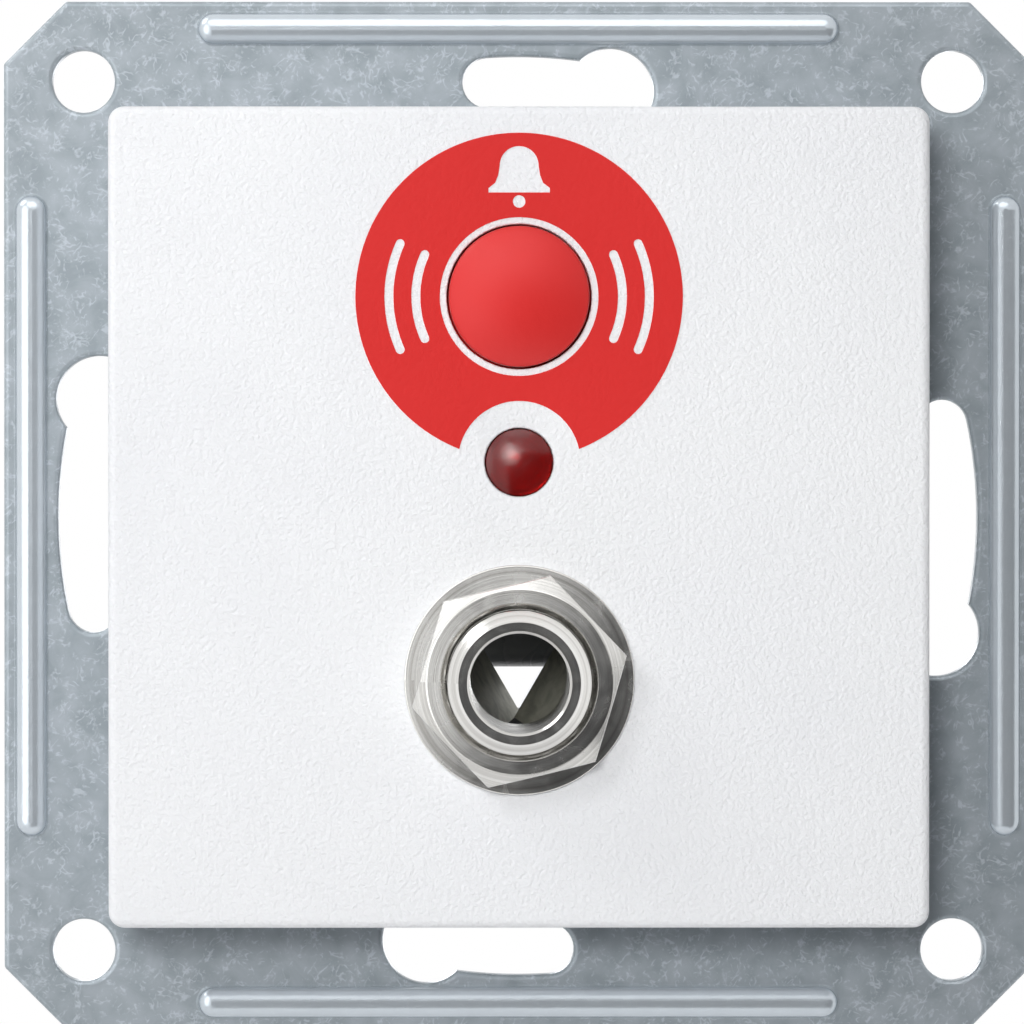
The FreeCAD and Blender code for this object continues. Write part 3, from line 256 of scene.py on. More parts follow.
def looseObject(name, bm):
    bmesh.ops.recalc_face_normals(bm, faces=bm.faces)
    mesh = bpy.data.meshes.new(name)
    bm.to_mesh(mesh)
    bm.free()
    mesh.transform(Matrix.Scale(metresPerMm, 4))
    made = bpy.data.objects.new(name, mesh)
    scene.collection.objects.link(made)
    return made


def combine(target, tool, operation):
    # joins or cuts with another object, which is used up
    step = target.modifiers.new(operation.lower(), "BOOLEAN")
    step.operation, step.solver, step.object = operation, "EXACT", tool
    step.use_self = True
    mesh = bpy.data.meshes.new_from_object(target.evaluated_get(bpy.context.evaluated_depsgraph_get()))
    target.modifiers.clear()
    target.data = mesh
    bpy.data.objects.remove(tool)
    return target


def giveFinish(piece, finish):
    piece.data.materials.clear()
    piece.data.materials.append(materials[finish])


def keepFlat(mesh):
    # the flat faces keep straight shading beside their rounded edges
    flatEnough = 0.9999
    bm = bmesh.new()
    bm.from_mesh(mesh)
    for edge in bm.edges:
        flats = {abs(face.normal.y) > flatEnough for face in edge.link_faces}
        if len(flats) == 2:
            edge.smooth = False
    bm.to_mesh(mesh)
    bm.free()


def finishPiece(piece, finish, replaced, body="insert", sharp=35, bevel=0.0, flatFaces=False):
    # one piece of the object: its finish, its shading, the body it moves with and the node it stands for
    piece.data.name = piece.name
    giveFinish(piece, finish)
    for face in piece.data.polygons:
        face.use_smooth = True
    if bevel:
        step = piece.modifiers.new("softEdges", "BEVEL")
        step.width, step.segments, step.limit_method = bevel * metresPerMm, 2, "ANGLE"
        step.angle_limit = math.radians(sharp)
    piece.data.set_sharp_from_angle(angle=math.radians(sharp))
    if flatFaces:
        keepFlat(piece.data)
    steady = piece.modifiers.new("steadyNormals", "WEIGHTED_NORMAL")
    steady.keep_sharp = True
    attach(piece, body)
    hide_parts(*replaced)
    return piece


# Node trees

def add(tree, kind, wires=None, **settings):
    # a shader node with its settings, and its inputs linked or set
    made = tree.nodes.new("ShaderNode" + kind)
    for key, value in settings.items():
        setattr(made, key, value)
    for key, value in (wires or {}).items():
        if isinstance(value, bpy.types.NodeSocket):
            tree.links.new(value, made.inputs[key])
        else:
            made.inputs[key].default_value = value
    return made


def maths(tree, operation, first, second=0.0):
    return add(tree, "Math", {0: first, 1: second}, operation=operation).outputs[0]


def plus(tree, first, second):
    return maths(tree, "ADD", first, second)


def times(tree, first, second):
    return maths(tree, "MULTIPLY", first, second)


def reachOf(tree, across, along):
    return maths(tree, "SQRT", plus(tree, times(tree, across, across), times(tree, along, along)))


def between(tree, value, low, high, lowTo=0.0, highTo=1.0):
    wires = {"Value": value, "From Min": low, "From Max": high, "To Min": lowTo, "To Max": highTo}
    return add(tree, "MapRange", wires, clamp=True).outputs["Result"]


def shade(tree, factor, atZero, atOne):
    # a plain value that follows a factor from 0 to 1
    return between(tree, factor, 0.0, 1.0, atZero, atOne)


def mixColour(tree, factor, first, second):
    # inputs 0, 6 and 7 of a colour Mix are its factor and its two colours
    return add(tree, "Mix", {0: factor, 6: first, 7: second}, data_type="RGBA").outputs[2]


def feed(tree, sockets, **values):
    # links each value to the socket of its name, with _ for a space
    for label, value in values.items():
        tree.links.new(value, sockets[label.replace("_", " ")])


def newGroup(name, inputs, outputs):
    tree = bpy.data.node_groups.new(name, "ShaderNodeTree")
    for label, value in inputs.items():
        socket = tree.interface.new_socket(name=label, in_out="INPUT", socket_type="NodeSocketFloat")
        socket.default_value = value
    for label in outputs:
        tree.interface.new_socket(name=label, in_out="OUTPUT", socket_type="NodeSocketFloat")
    return tree, tree.nodes.new("NodeGroupInput").outputs, tree.nodes.new("NodeGroupOutput").inputs


def placeMm(tree):
    # the place on the piece, in millimetres
    where = add(tree, "TexCoord").outputs["Object"]
    return add(tree, "VectorMath", {0: where, "Scale": 1 / metresPerMm}, operation="SCALE").outputs[0]


def partsOf(tree, place):
    return add(tree, "SeparateXYZ", {0: place}).outputs


def noiseOf(tree, place, scale, detail=2.0, roughness=0.5, distortion=0.0):
    wires = {"Vector": place, "Scale": scale, "Detail": detail, "Roughness": roughness,
             "Distortion": distortion}
    return add(tree, "TexNoise", wires).outputs["Fac"]


# Surface effects that several materials share

effects = {
    "mouldGrain": {"pits": (0.36, 0.62), "pitDepth": 0.75, "swellScale": 0.35, "swellDepth": 0.5},
    "zincSkin": {"cellScale": 2.2, "cloudShare": 0.75, "cellShare": 0.35, "grainPerMm": 5.0,
                 "scuffLays": ((12.0, 1.8), (-48.0, 2.0), (80.0, 1.6)), "lineScale": 2.2, "pieceScale": 1.5,
                 "line": (0.07, 0.02), "pieces": (0.54, 0.64), "grainDepth": 0.4, "scuffDepth": 0.4,
                 "cloudDepth": 0.8},
    "turningMarks": {"alongScale": 0.7, "roundScale": 0.5, "toneScale": 0.35},
    "handlingMarks": {"smears": (0.4, 0.7)},
}


def mouldGrain(look):
    # the fine pitted skin of a spark-eroded mould, with a slow drift of tone
    tree, given, result = newGroup("mouldGrain", {"Grain Per Mm": 3.0, "Drift Per Mm": 0.05},
                                   ("Height", "Tone"))
    place = placeMm(tree)
    fine = noiseOf(tree, place, given["Grain Per Mm"], detail=3.0, roughness=0.6)
    swell = noiseOf(tree, place, times(tree, given["Grain Per Mm"], look["swellScale"]))
    pits = times(tree, between(tree, fine, *look["pits"]), look["pitDepth"])
    feed(tree, result, Height=plus(tree, pits, times(tree, swell, look["swellDepth"])),
         Tone=noiseOf(tree, place, given["Drift Per Mm"]))
    return tree


def zincSkin(look):
    # galvanised sheet: cloudy patches, soft cells and short scuffs that lie several ways
    tree, given, result = newGroup("zincSkin", {"Patch Per Mm": 0.35, "Scuff Per Mm": 1.0},
                                   ("Height", "Tone", "Scuffs"))
    place = placeMm(tree)
    cloud = noiseOf(tree, place, given["Patch Per Mm"], detail=4.0, roughness=0.62, distortion=0.8)
    wires = {"Vector": place, "Scale": times(tree, given["Patch Per Mm"], look["cellScale"])}
    cell = add(tree, "TexVoronoi", wires, feature="SMOOTH_F1").outputs["Distance"]
    lineScale = times(tree, given["Scuff Per Mm"], look["lineScale"])
    pieceScale = times(tree, given["Scuff Per Mm"], look["pieceScale"])
    scuffs = None
    for turn, stretch in look["scuffLays"]:
        # short bent scuffs: pieces of a noise's middle line
        wires = {"Vector": place, "Rotation": (0.0, math.radians(turn), 0.0),
                 "Location": (turn, 0.0, turn), "Scale": (stretch, 1.0, 1.0)}
        lay = add(tree, "Mapping", wires, vector_type="TEXTURE").outputs[0]
        line = noiseOf(tree, lay, lineScale, detail=1.0, distortion=0.2)
        fromLine = maths(tree, "ABSOLUTE", maths(tree, "SUBTRACT", line, 0.5))
        piece = noiseOf(tree, lay, pieceScale, detail=3.0, roughness=0.65)
        mask = times(tree, between(tree, fromLine, *look["line"]), between(tree, piece, *look["pieces"]))
        scuffs = mask if scuffs is None else maths(tree, "MAXIMUM", scuffs, mask)
    grain = noiseOf(tree, place, look["grainPerMm"], detail=3.0, roughness=0.65)
    height = plus(tree, times(tree, grain, look["grainDepth"]), times(tree, scuffs, look["scuffDepth"]))
    feed(tree, result, Height=plus(tree, height, times(tree, cloud, look["cloudDepth"])), Scuffs=scuffs,
         Tone=plus(tree, times(tree, cloud, look["cloudShare"]), times(tree, cell, look["cellShare"])))
    return tree


def turningMarks(look):
    # the rings that a lathe leaves round the line through (Centre X, Centre Z), in millimetres
    tree, given, result = newGroup(
        "turningMarks", {"Centre X": 0.0, "Centre Z": 0.0, "Rings Per Mm": 12.0}, ("Height", "Tone"))
    place = partsOf(tree, placeMm(tree))
    across = maths(tree, "SUBTRACT", place["X"], given["Centre X"])
    up = maths(tree, "SUBTRACT", place["Z"], given["Centre Z"])
    along = times(tree, place["Y"], look["alongScale"])
    around = maths(tree, "ARCTAN2", up, across)
    wires = {"X": times(tree, reachOf(tree, across, up), given["Rings Per Mm"]),
             "Y": times(tree, along, given["Rings Per Mm"]), "Z": times(tree, around, look["roundScale"])}
    ringPlace = add(tree, "CombineXYZ", wires).outputs[0]
    feed(tree, result, Height=noiseOf(tree, ringPlace, 1.0, detail=3.0, roughness=0.6),
         Tone=noiseOf(tree, ringPlace, look["toneScale"]))
    return tree


def handlingMarks(look):
    # faint smears of use
    tree, given, result = newGroup("handlingMarks", {"Smear Per Mm": 0.2}, ("Smears",))
    smear = noiseOf(tree, placeMm(tree), given["Smear Per Mm"], detail=4.0, roughness=0.6, distortion=1.2)
    feed(tree, result, Smears=between(tree, smear, *look["smears"]))
    return tree


effectMakers = {"mouldGrain": mouldGrain, "zincSkin": zincSkin, "turningMarks": turningMarks,
                "handlingMarks": handlingMarks}
groups = {name: make(effects[name]) for name, make in effectMakers.items()}


def useGroup(tree, name, **values):
    made = tree.nodes.new("ShaderNodeGroup")
    made.node_tree = groups[name]
    for label, value in values.items():
        made.inputs[label.replace("_", " ")].default_value = value
    return made.outputs


# Materials

def newMaterial(name):
    material = bpy.data.materials.new(name)
    material.use_nodes = True
    tree = material.node_tree
    return material, tree, tree.nodes["Principled BSDF"].inputs


def addBump(tree, surface, height, depthMm):
    bump = add(tree, "Bump", {"Height": height, "Strength": 1.0, "Distance": depthMm * metresPerMm})
    feed(tree, surface, Normal=bump.outputs[0])


toneSpan = (0.3, 0.7)  # where a noise's tone goes from dark to light
roughSpan = {"turned": 0.1, "plain": 0.12, "resin": 0.08}  # how much rougher the roughest places are


def mouldedPlastic(tree, surface, look):
    grain = useGroup(tree, "mouldGrain", Grain_Per_Mm=look["grain"])
    smears = useGroup(tree, "handlingMarks")["Smears"]
    rough = look["roughness"]
    feed(tree, surface, Roughness=shade(tree, smears, rough, rough - look["smear"]),
         Base_Color=mixColour(tree, between(tree, grain["Tone"], *toneSpan), look["dark"], look["light"]))
    addBump(tree, surface, grain["Height"], look["bump"])


def galvanised(tree, surface, look):
    skin = useGroup(tree, "zincSkin")
    front = times(tree, partsOf(tree, placeMm(tree))["Y"], -1.0)
    low, high = look["pressedFrom"]
    pressedAndHighlit = between(tree, front, look["flatFront"] + low, look["flatFront"] + high)
    colour = mixColour(tree, between(tree, skin["Tone"], *look["tones"]), look["dark"], look["light"])
    scuffs = times(tree, skin["Scuffs"], shade(tree, pressedAndHighlit, *look["scuffShare"]))
    colour = mixColour(tree, scuffs, colour, look["scuff"])
    # the sheet is smoother where the tool has shaped it; its raised beads also get a painted highlight, a
    # paler tint mixed into their colour
    colour = mixColour(tree, times(tree, pressedAndHighlit, look["paintedHighlightShare"]), colour, look["paintedHighlightTint"])
    rough, wave = look["roughness"], look["roughnessWave"]
    rough = between(tree, skin["Tone"], *look["roughTones"], rough + wave, rough - wave)
    rough = add(tree, "Mix", {"Factor": pressedAndHighlit, "A": rough, "B": look["pressedRoughness"]})
    feed(tree, surface, Base_Color=colour, Roughness=rough.outputs["Result"],
         Metallic=shade(tree, pressedAndHighlit, look["metallic"], look["pressedMetallic"]))
    addBump(tree, surface, skin["Height"], look["bump"])


def turnedMetal(tree, surface, look):
    marks = useGroup(tree, "turningMarks", Centre_X=jackCentre[0], Centre_Z=jackCentre[1],
                     Rings_Per_Mm=look["rings"])
    smears = useGroup(tree, "handlingMarks", Smear_Per_Mm=0.5)["Smears"]
    rough = look["roughness"]
    feed(tree, surface, Roughness=shade(tree, smears, rough, rough + roughSpan["turned"]),
         Base_Color=mixColour(tree, between(tree, marks["Tone"], *toneSpan), look["dark"], look["light"]))
    surface["Metallic"].default_value = 1.0
    surface["Anisotropic"].default_value = look["anisotropic"]
    if look["anisotropic"]:
        feed(tree, surface, Tangent=add(tree, "Tangent", direction_type="RADIAL", axis="Y").outputs[0])
    addBump(tree, surface, marks["Height"], look["bump"])


def plainMetal(tree, surface, look):
    grain = useGroup(tree, "mouldGrain", Grain_Per_Mm=look["grain"])
    smears = useGroup(tree, "handlingMarks", Smear_Per_Mm=0.6)["Smears"]
    rough = look["roughness"]
    feed(tree, surface, Base_Color=mixColour(tree, smears, look["light"], look["dark"]),
         Roughness=between(tree, grain["Tone"], *toneSpan, rough, rough + roughSpan["plain"]))
    surface["Metallic"].default_value = look.get("metallic", 1.0)
    addBump(tree, surface, grain["Height"], look["bump"])


def tintedResin(tree, surface, look):
    smears = useGroup(tree, "handlingMarks", Smear_Per_Mm=0.8)["Smears"]
    rough = look["roughness"]
    feed(tree, surface, Base_Color=mixColour(tree, smears, look["light"], look["dark"]),
         Roughness=shade(tree, smears, rough, rough + roughSpan["resin"]))
    surface["Transmission Weight"].default_value = look["clear"]
    surface["IOR"].default_value = 1.5


finishes = {
    "mattWhite": {"dark": tint(241, 242, 245), "light": tint(246, 247, 249), "roughness": 0.6,
                  "smear": 0.06, "grain": 3.2, "bump": 0.06},
    "redInk": {"dark": tint(209, 38, 36), "light": tint(215, 42, 40), "roughness": 0.5, "smear": 0.05,
               "grain": 3.2, "bump": 0.01},
    "redButton": {"dark": tint(212, 43, 42), "light": tint(218, 49, 47), "roughness": 0.43, "smear": 0.05,
                  "grain": 4.0, "bump": 0.004},
    "paleHousing": {"dark": tint(206, 208, 207), "light": tint(222, 223, 222), "roughness": 0.55,
                    "smear": 0.1, "grain": 2.5, "bump": 0.02},
    "darkCarrier": {"dark": tint(112, 113, 114), "light": tint(132, 133, 134), "roughness": 0.3,
                    "smear": 0.1, "grain": 3.0, "bump": 0.015},
    "switchBlack": {"dark": tint(28, 28, 30), "light": tint(40, 40, 42), "roughness": 0.5, "smear": 0.08,
                    "grain": 4.0, "bump": 0.01},
    "terminalGrey": {"dark": tint(84, 88, 92), "light": tint(102, 106, 110), "roughness": 0.5,
                     "smear": 0.1, "grain": 2.5, "bump": 0.02},
    "boardGreen": {"dark": tint(18, 78, 46), "light": tint(34, 104, 64), "roughness": 0.35, "smear": 0.08,
                   "grain": 1.2, "bump": 0.01},
    "resistorLacquer": {"dark": tint(186, 164, 122), "light": tint(202, 182, 140), "roughness": 0.3,
                        "smear": 0.05, "grain": 3.0, "bump": 0.008},
    "diodeBlack": {"dark": tint(24, 24, 26), "light": tint(36, 36, 38), "roughness": 0.3, "smear": 0.06,
                   "grain": 3.0, "bump": 0.008},
    "zincSheet": {"dark": tint(150, 159, 165), "light": tint(177, 185, 192), "scuff": tint(212, 220, 228),
                  "tones": (0.38, 0.78), "scuffShare": (0.46, 0.2), "metallic": 0.26, "roughness": 0.34,
                  "roughTones": (0.3, 0.8), "roughnessWave": 0.05, "bump": 0.008, "flatFront": 1.0,
                  # the beads' paler tint on the next line is a painted highlight on the raised beads
                  "pressedFrom": (0.05, 0.25), "paintedHighlightShare": 0.75, "paintedHighlightTint": tint(214, 222, 229),
                  "pressedMetallic": 0.52, "pressedRoughness": 0.2},
    "turnedNickel": {"dark": tint(196, 194, 190), "light": tint(232, 231, 228), "roughness": 0.2,
                     "rings": 14.0, "bump": 0.004, "anisotropic": 0.4},
    "nickelThread": {"dark": tint(204, 202, 198), "light": tint(236, 235, 232), "roughness": 0.16,
                     "rings": 14.0, "bump": 0.002, "anisotropic": 0.0},
    "contactStrip": {"dark": tint(150, 150, 138), "light": tint(186, 186, 172), "roughness": 0.4,
                     "grain": 3.0, "bump": 0.006, "metallic": 0.5},
    "brightSteel": {"dark": tint(150, 152, 154), "light": tint(186, 188, 190), "roughness": 0.25,
                    "grain": 3.0, "bump": 0.004},
    "springWire": {"dark": tint(130, 132, 134), "light": tint(160, 162, 164), "roughness": 0.22,
                   "grain": 5.0, "bump": 0.003},
    "tinned": {"dark": tint(170, 170, 168), "light": tint(200, 200, 198), "roughness": 0.3,
               "grain": 4.0, "bump": 0.006},
    "platedBrass": {"dark": tint(176, 152, 92), "light": tint(204, 182, 120), "roughness": 0.28,
                    "grain": 3.0, "bump": 0.004},
    "redLens": {"dark": tint(172, 20, 18), "light": tint(194, 30, 28), "roughness": 0.12, "clear": 0.75},
    "lampResin": {"dark": tint(190, 40, 36), "light": tint(214, 60, 50), "roughness": 0.12, "clear": 0.2},
}
makers = {"zincSheet": galvanised, "turnedNickel": turnedMetal, "nickelThread": turnedMetal,
          "contactStrip": plainMetal, "brightSteel": plainMetal, "springWire": plainMetal,
          "tinned": plainMetal, "platedBrass": plainMetal, "redLens": tintedResin, "lampResin": tintedResin}
materials = {}
for name, look in finishes.items():
    materials[name], tree, surface = newMaterial(name)
    makers.get(name, mouldedPlastic)(tree, surface, look)
print("materials made:", len(materials))


# Support frame

frameSheet = {
    "width": 71.0, "cornerCut": 4.3, "cornerRounding": 0.4, "thickness": 1.0, "roll": 0.34,
    "rollDepth": 0.26, "holeSpacing": 60.0, "holeRadius": 2.15, "slotCircle": 30.0,
    "slotHalfWidth": 1.75, "slotRound": 3.0, "uprightSlot": (77.75, 94.0), "levelSlot": (-15.6, 12.1),
    "openingHalf": 21.8, "openingSum": 35.6, "notchReach": 24.3, "notchWidth": 6.8, "seatWidth": 1.2,
    "seatDepth": 0.3, "beadFromCentre": 33.6, "beadLength": 44.5, "beadWidth": 2.4, "beadRise": 0.8,
    "beadFoot": ((0.0, 0.0), (0.07, 0.02), (0.13, 0.08)), "beadSide": (0.17, 0.16), "beadGap": 0.02,
    "grooveWidth": 1.1, "grooveDepth": 0.6, "grooveLip": (0.1, 0.08),
}


def keyholeLoop(look, wide, narrow):
    # a bent slot with a large round end for the screw's head at wide and a small one at narrow
    ring, half, head = look["slotCircle"], look["slotHalfWidth"], look["slotRound"]
    centre = polar(ring, wide)
    meets = {}
    for side in (ring + half, ring - half):
        cosine = (ring ** 2 + side ** 2 - head ** 2) / (2 * ring * side)
        meets[side] = wide + math.degrees(math.acos(cosine))
    outer = arcPoints((0, 0), ring + half, meets[ring + half], narrow, steps=18)
    end = arcPoints(polar(ring, narrow), half, narrow, narrow + 180, steps=16)
    inner = arcPoints((0, 0), ring - half, narrow, meets[ring - half], steps=18)
    start, stop = bearing(centre, inner[-1]), bearing(centre, outer[0])
    while stop <= start:
        stop += 360
    around = arcPoints(centre, head, start, stop, steps=56)
    return outer[:-1] + end[:-1] + inner[:-1] + around[:-1]


def makeFrameSheet(look):
    bm = bmesh.new()
    half, front = look["width"] / 2, look["thickness"]
    outerLoop = cutSquare(half, look["width"] - look["cornerCut"])
    outerLoop = roundedLoop(outerLoop, look["cornerRounding"], steps=4)
    openingLoop = notchedSquare(look["openingHalf"], look["openingSum"], look["notchReach"],
                                look["notchWidth"])
    place = look["holeSpacing"] / 2
    holes = [circleLoop((x, y), look["holeRadius"], steps=64)
             for x in (-place, place) for y in (-place, place)]
    for wide, narrow in (look["uprightSlot"], look["levelSlot"]):
        holes += [keyholeLoop(look, wide + turn, narrow + turn) for turn in (0, 180)]
    frontRings, backRings = [], []
    besideBead = look["beadFromCentre"] - look["beadWidth"] / 2 - look["beadGap"]
    for index, loop in enumerate([asOuter(outerLoop)] + [asHole(loop) for loop in holes]):
        limit = besideBead if index else half
        top, side = edgeRing(bm, loop, front, look["roll"], look["rollDepth"], limit=limit)
        frontRings.append(top)
        backRings.append(wallTo(bm, side, 0.0))
    top, side = edgeRing(bm, asHole(openingLoop), front, look["roll"], look["rollDepth"])
    frontRings.append(top)
    openingBack = wallTo(bm, side, look["seatDepth"])
    step = look["seatWidth"]
    seatLoop = notchedSquare(look["openingHalf"] + step, look["openingSum"] + step * math.sqrt(2),
                             look["notchReach"] + step, look["notchWidth"] + 2 * step)
    seat = ringAt(bm, asHole(seatLoop), look["seatDepth"])
    backRings.append(wallTo(bm, seat, 0.0))
    away = look["beadFromCentre"]
    for centre, upright in (((0, away), False), ((0, -away), False), ((away, 0), True), ((-away, 0), True)):
        frontRings.append(addBead(bm, look, centre, upright))
        backRings.append(addGroove(bm, look, centre, upright))
    fillFlat(bm, frontRings)
    fillFlat(bm, backRings)
    fillFlat(bm, [seat, openingBack])
    return looseObject("frameSheet", bm)


def crest(half, foot, top, count, first=0):
    # a rib's round crest: (distance from its middle line, height) from foot up to just before the top
    angles = [math.pi / 2 * step / count for step in range(first, count)]
    return [(half * math.cos(angle), foot + (top - foot) * math.sin(angle)) for angle in angles]


def addRib(bm, profile, look, centre, upright, front=0.0, steps=12):
    # a straight rib with round ends: returns the ring of its foot
    straight = look["beadLength"] - look["beadWidth"]
    rings = [ringAt(bm, stadiumLoop(centre, straight, reach, upright, steps), front + height)
             for reach, height in profile]
    joinAll(bm, rings)
    bm.faces.new(rings[-1])
    return rings[0]


def addBead(bm, look, centre, upright):
    # a pressed rib: a soft foot, steep sides and a round crest
    half, (inset, foot) = look["beadWidth"] / 2, look["beadSide"]
    profile = [(half - inward, height) for inward, height in look["beadFoot"]]
    profile += crest(half - inset, foot, look["beadRise"], count=12)
    return addRib(bm, profile, look, centre, upright, look["thickness"])


def addGroove(bm, look, centre, upright):
    # the bead's hollow in the back of the sheet
    half, (lip, foot) = look["grooveWidth"] / 2, look["grooveLip"]
    profile = [(half + lip, 0.0), (half, foot)]
    profile += crest(half, foot, look["grooveDepth"], count=7, first=1)
    return addRib(bm, profile, look, centre, upright, steps=8)


finishPiece(makeFrameSheet(frameSheet), "zincSheet", ["support_frame"],
            flatFaces=True)
print("support frame made")


# Cover plate

coverPlate = {
    "width": 55.0, "front": plateFront, "wall": 2.0, "skirtWall": 1.5, "skirtEnd": 2.6,
    "cornerRadius": 1.1, "edgeRounding": 0.6, "holeEdge": 0.12,
    "holes": ((buttonCentre, 4.85), (lampCentre, 2.3), (jackCentre, 4.9)),
    "overlap": 0.4, "ribSpacing": 12.0, "ribWidth": 1.0, "ribDepth": 1.4, "ribGap": (3.0, 4.4),
    "collars": ((buttonCentre, 5.95, 7.0, 7.2), (lampCentre, 2.95, 4.0, 7.6)),
    "postPlace": (23.0, 12.0), "postRadius": 1.5, "postEnd": 2.2,
    "armReach": 24.0, "armThickness": 1.4, "armHalfWidth": 3.0, "armEnd": -1.4, "lip": 0.9,
    "lipLand": 0.1, "lipRise": 1.6,
}


def makeCoverPlate(look):
    bm = bmesh.new()
    half, front, inside = look["width"] / 2, look["front"], look["front"] - look["wall"]
    square = roundedLoop(boxLoop(-half, -half, half, half), look["cornerRadius"], steps=8)
    face, side = edgeRing(bm, asOuter(square), front, look["edgeRounding"], look["edgeRounding"], steps=8)
    rim = wallTo(bm, side, look["skirtEnd"])
    innerHalf = half - look["skirtWall"]
    inner = ringAt(bm, asHole(boxLoop(-innerHalf, -innerHalf, innerHalf, innerHalf)), look["skirtEnd"])
    ceiling = wallTo(bm, inner, inside)
    faceRings, ceilingRings = [face], [ceiling]
    for centre, radius in look["holes"]:
        loop = asHole(circleLoop(centre, radius, steps=128))
        top, wall = edgeRing(bm, loop, front, look["holeEdge"], look["holeEdge"], steps=3)
        faceRings.append(top)
        ceilingRings.append(wallTo(bm, wall, inside))
    fillFlat(bm, faceRings)
    fillFlat(bm, [rim, inner])
    fillFlat(bm, ceilingRings)
    plate = looseObject("coverPlate", bm)
    return combine(plate, looseObject("plateInside", plateInside(look, inside, innerHalf)), "UNION")


def plateInside(look, inside, innerHalf):
    # ribs, collars, posts and snap arms behind the face
    bm = bmesh.new()
    sunk, edge = inside + look["overlap"], innerHalf + look["overlap"]
    ribHalf, ribEnd = look["ribWidth"] / 2, inside - look["ribDepth"]
    gapLow, gapHigh = look["ribGap"]
    for x in (-look["ribSpacing"], look["ribSpacing"]):
        for low, high in ((-edge, gapLow), (gapHigh, edge)):
            addSlab(bm, boxLoop(x - ribHalf, low, x + ribHalf, high), ribEnd, sunk)
    for centre, inner, outer, end in look["collars"]:
        rings = [ringAt(bm, circleLoop(centre, radius), level)
                 for radius, level in ((inner, end), (inner, sunk), (outer, sunk), (outer, end))]
        joinAll(bm, rings + rings[:1])
    for x in (-look["postPlace"][0], look["postPlace"][0]):
        for y in (-look["postPlace"][1], look["postPlace"][1]):
            addSlab(bm, circleLoop((x, y), look["postRadius"], steps=32), look["postEnd"], sunk)
    reach, thin, end = look["armReach"], look["armThickness"], look["armEnd"]
    lip, land, top = look["lip"], look["lipLand"], look["armEnd"] + look["lipRise"]
    profile = [(reach - thin, sunk), (reach, sunk), (reach, top), (reach + lip, top),
               (reach + lip, end + lip - land), (reach + land, end), (reach - thin, end)]
    for turn in range(4):
        addSpunSlab(bm, profile, look["armHalfWidth"], -90 * turn)
    return bm


finishPiece(makeCoverPlate(coverPlate), "mattWhite", ["central_plate"])
print("cover plate made")


# Printed field round the button: a bell and call arcs left open

printField = {
    "centre": buttonCentre, "radius": 10.94, "clearRing": 5.3, "biteCentre": lampCentre,
    "biteRadius": 4.1, "arcRadii": (6.9, 8.7), "arcHalfWidth": 0.3, "arcHalfAngle": 24.0,
    "bellCrown": (8.75, 1.3), "bellSide": ((2.05, 6.95), (2.05, 7.25), (1.6, 7.6), (1.4, 8.1)),
    "clapper": (6.35, 0.42), "front": plateFront, "thickness": 0.06,
}


def makePrintField(look):
    # drawn round (0, 0) and moved to the button's centre at the end
    radius, bite, centre = look["radius"], look["biteRadius"], look["centre"]
    below = centre[1] - look["biteCentre"][1]
    level = -(radius ** 2 - bite ** 2 + below ** 2) / (2 * below)
    start = math.degrees(math.asin(level / radius))
    fieldArc = arcPoints((0, 0), radius, start, 180 - start, steps=160)
    rise = math.degrees(math.asin((level + below) / bite))
    biteArc = arcPoints((0, -below), bite, 180 - rise, rise, steps=40)
    outer = fieldArc + biteArc[1:-1]
    clapperUp, clapper = look["clapper"]
    holes = [circleLoop((0, 0), look["clearRing"], steps=128),
             circleLoop((0, clapperUp), clapper, steps=24)]
    for middle in (0.0, 180.0):
        for reach in look["arcRadii"]:
            holes.append(arcSlotLoop(reach, look["arcHalfWidth"], middle, look["arcHalfAngle"]))
    crownUp, crown = look["bellCrown"]
    right = list(look["bellSide"])
    left = [(-x, y) for x, y in reversed(right)]
    holes.append(right + arcPoints((0, crownUp), crown, 0, 180, steps=24) + left)
    moved = [[(x + centre[0], y + centre[1]) for x, y in loop] for loop in [outer] + holes]
    bm = bmesh.new()
    front = look["front"] + look["thickness"]
    tops, backs = [], []
    for loop in [asOuter(moved[0])] + [asHole(loop) for loop in moved[1:]]:
        top = ringAt(bm, loop, front)
        tops.append(top)
        backs.append(wallTo(bm, top, look["front"]))
    fillFlat(bm, tops)
    fillFlat(bm, backs)
    return looseObject("printField", bm)


def arcSlotLoop(radius, halfWidth, middle, halfAngle):
    # one call arc: a bent slot with round ends
    first, last = middle - halfAngle, middle + halfAngle
    return (arcPoints((0, 0), radius + halfWidth, first, last, steps=30)[:-1]
            + arcPoints(polar(radius, last), halfWidth, last, last + 180, steps=8)[:-1]
            + arcPoints((0, 0), radius - halfWidth, last, first, steps=30)[:-1]
            + arcPoints(polar(radius, first), halfWidth, first + 180, first + 360, steps=8)[:-1])


finishPiece(makePrintField(printField), "redInk", ["call_symbol"], sharp=60)
print("print made")


# Call button

pushButton = {
    "centre": buttonCentre, "radius": 4.7, "edge": 11.5, "crown": 12.7, "edgeRounding": 0.3,
    "flangeRadius": 5.7, "flangeFront": 9.0, "flangeBack": 8.2, "wall": 1.0, "roof": 11.3,
    "stemRadius": 2.0, "stemEnd": 7.3, "stemChamfer": 0.2, "edgeTurn": 60.0, "edgeGap": 0.05,
}


def ballUnder(radius, rise):
    # the radius of the ball whose cap is that wide and that high
    return (radius ** 2 + rise ** 2) / (2 * rise)


def domeProfile(radius, edge, crown, steps=24):
    # from the rim to the axis, over part of a ball
    ball = ballUnder(radius, crown - edge)
    last = math.asin(radius / ball)
    angles = [last * (steps - step) / steps for step in range(steps + 1)]
    return [(ball * math.sin(a), crown - ball + ball * math.cos(a)) for a in angles[:-1]] + [(0.0, crown)]


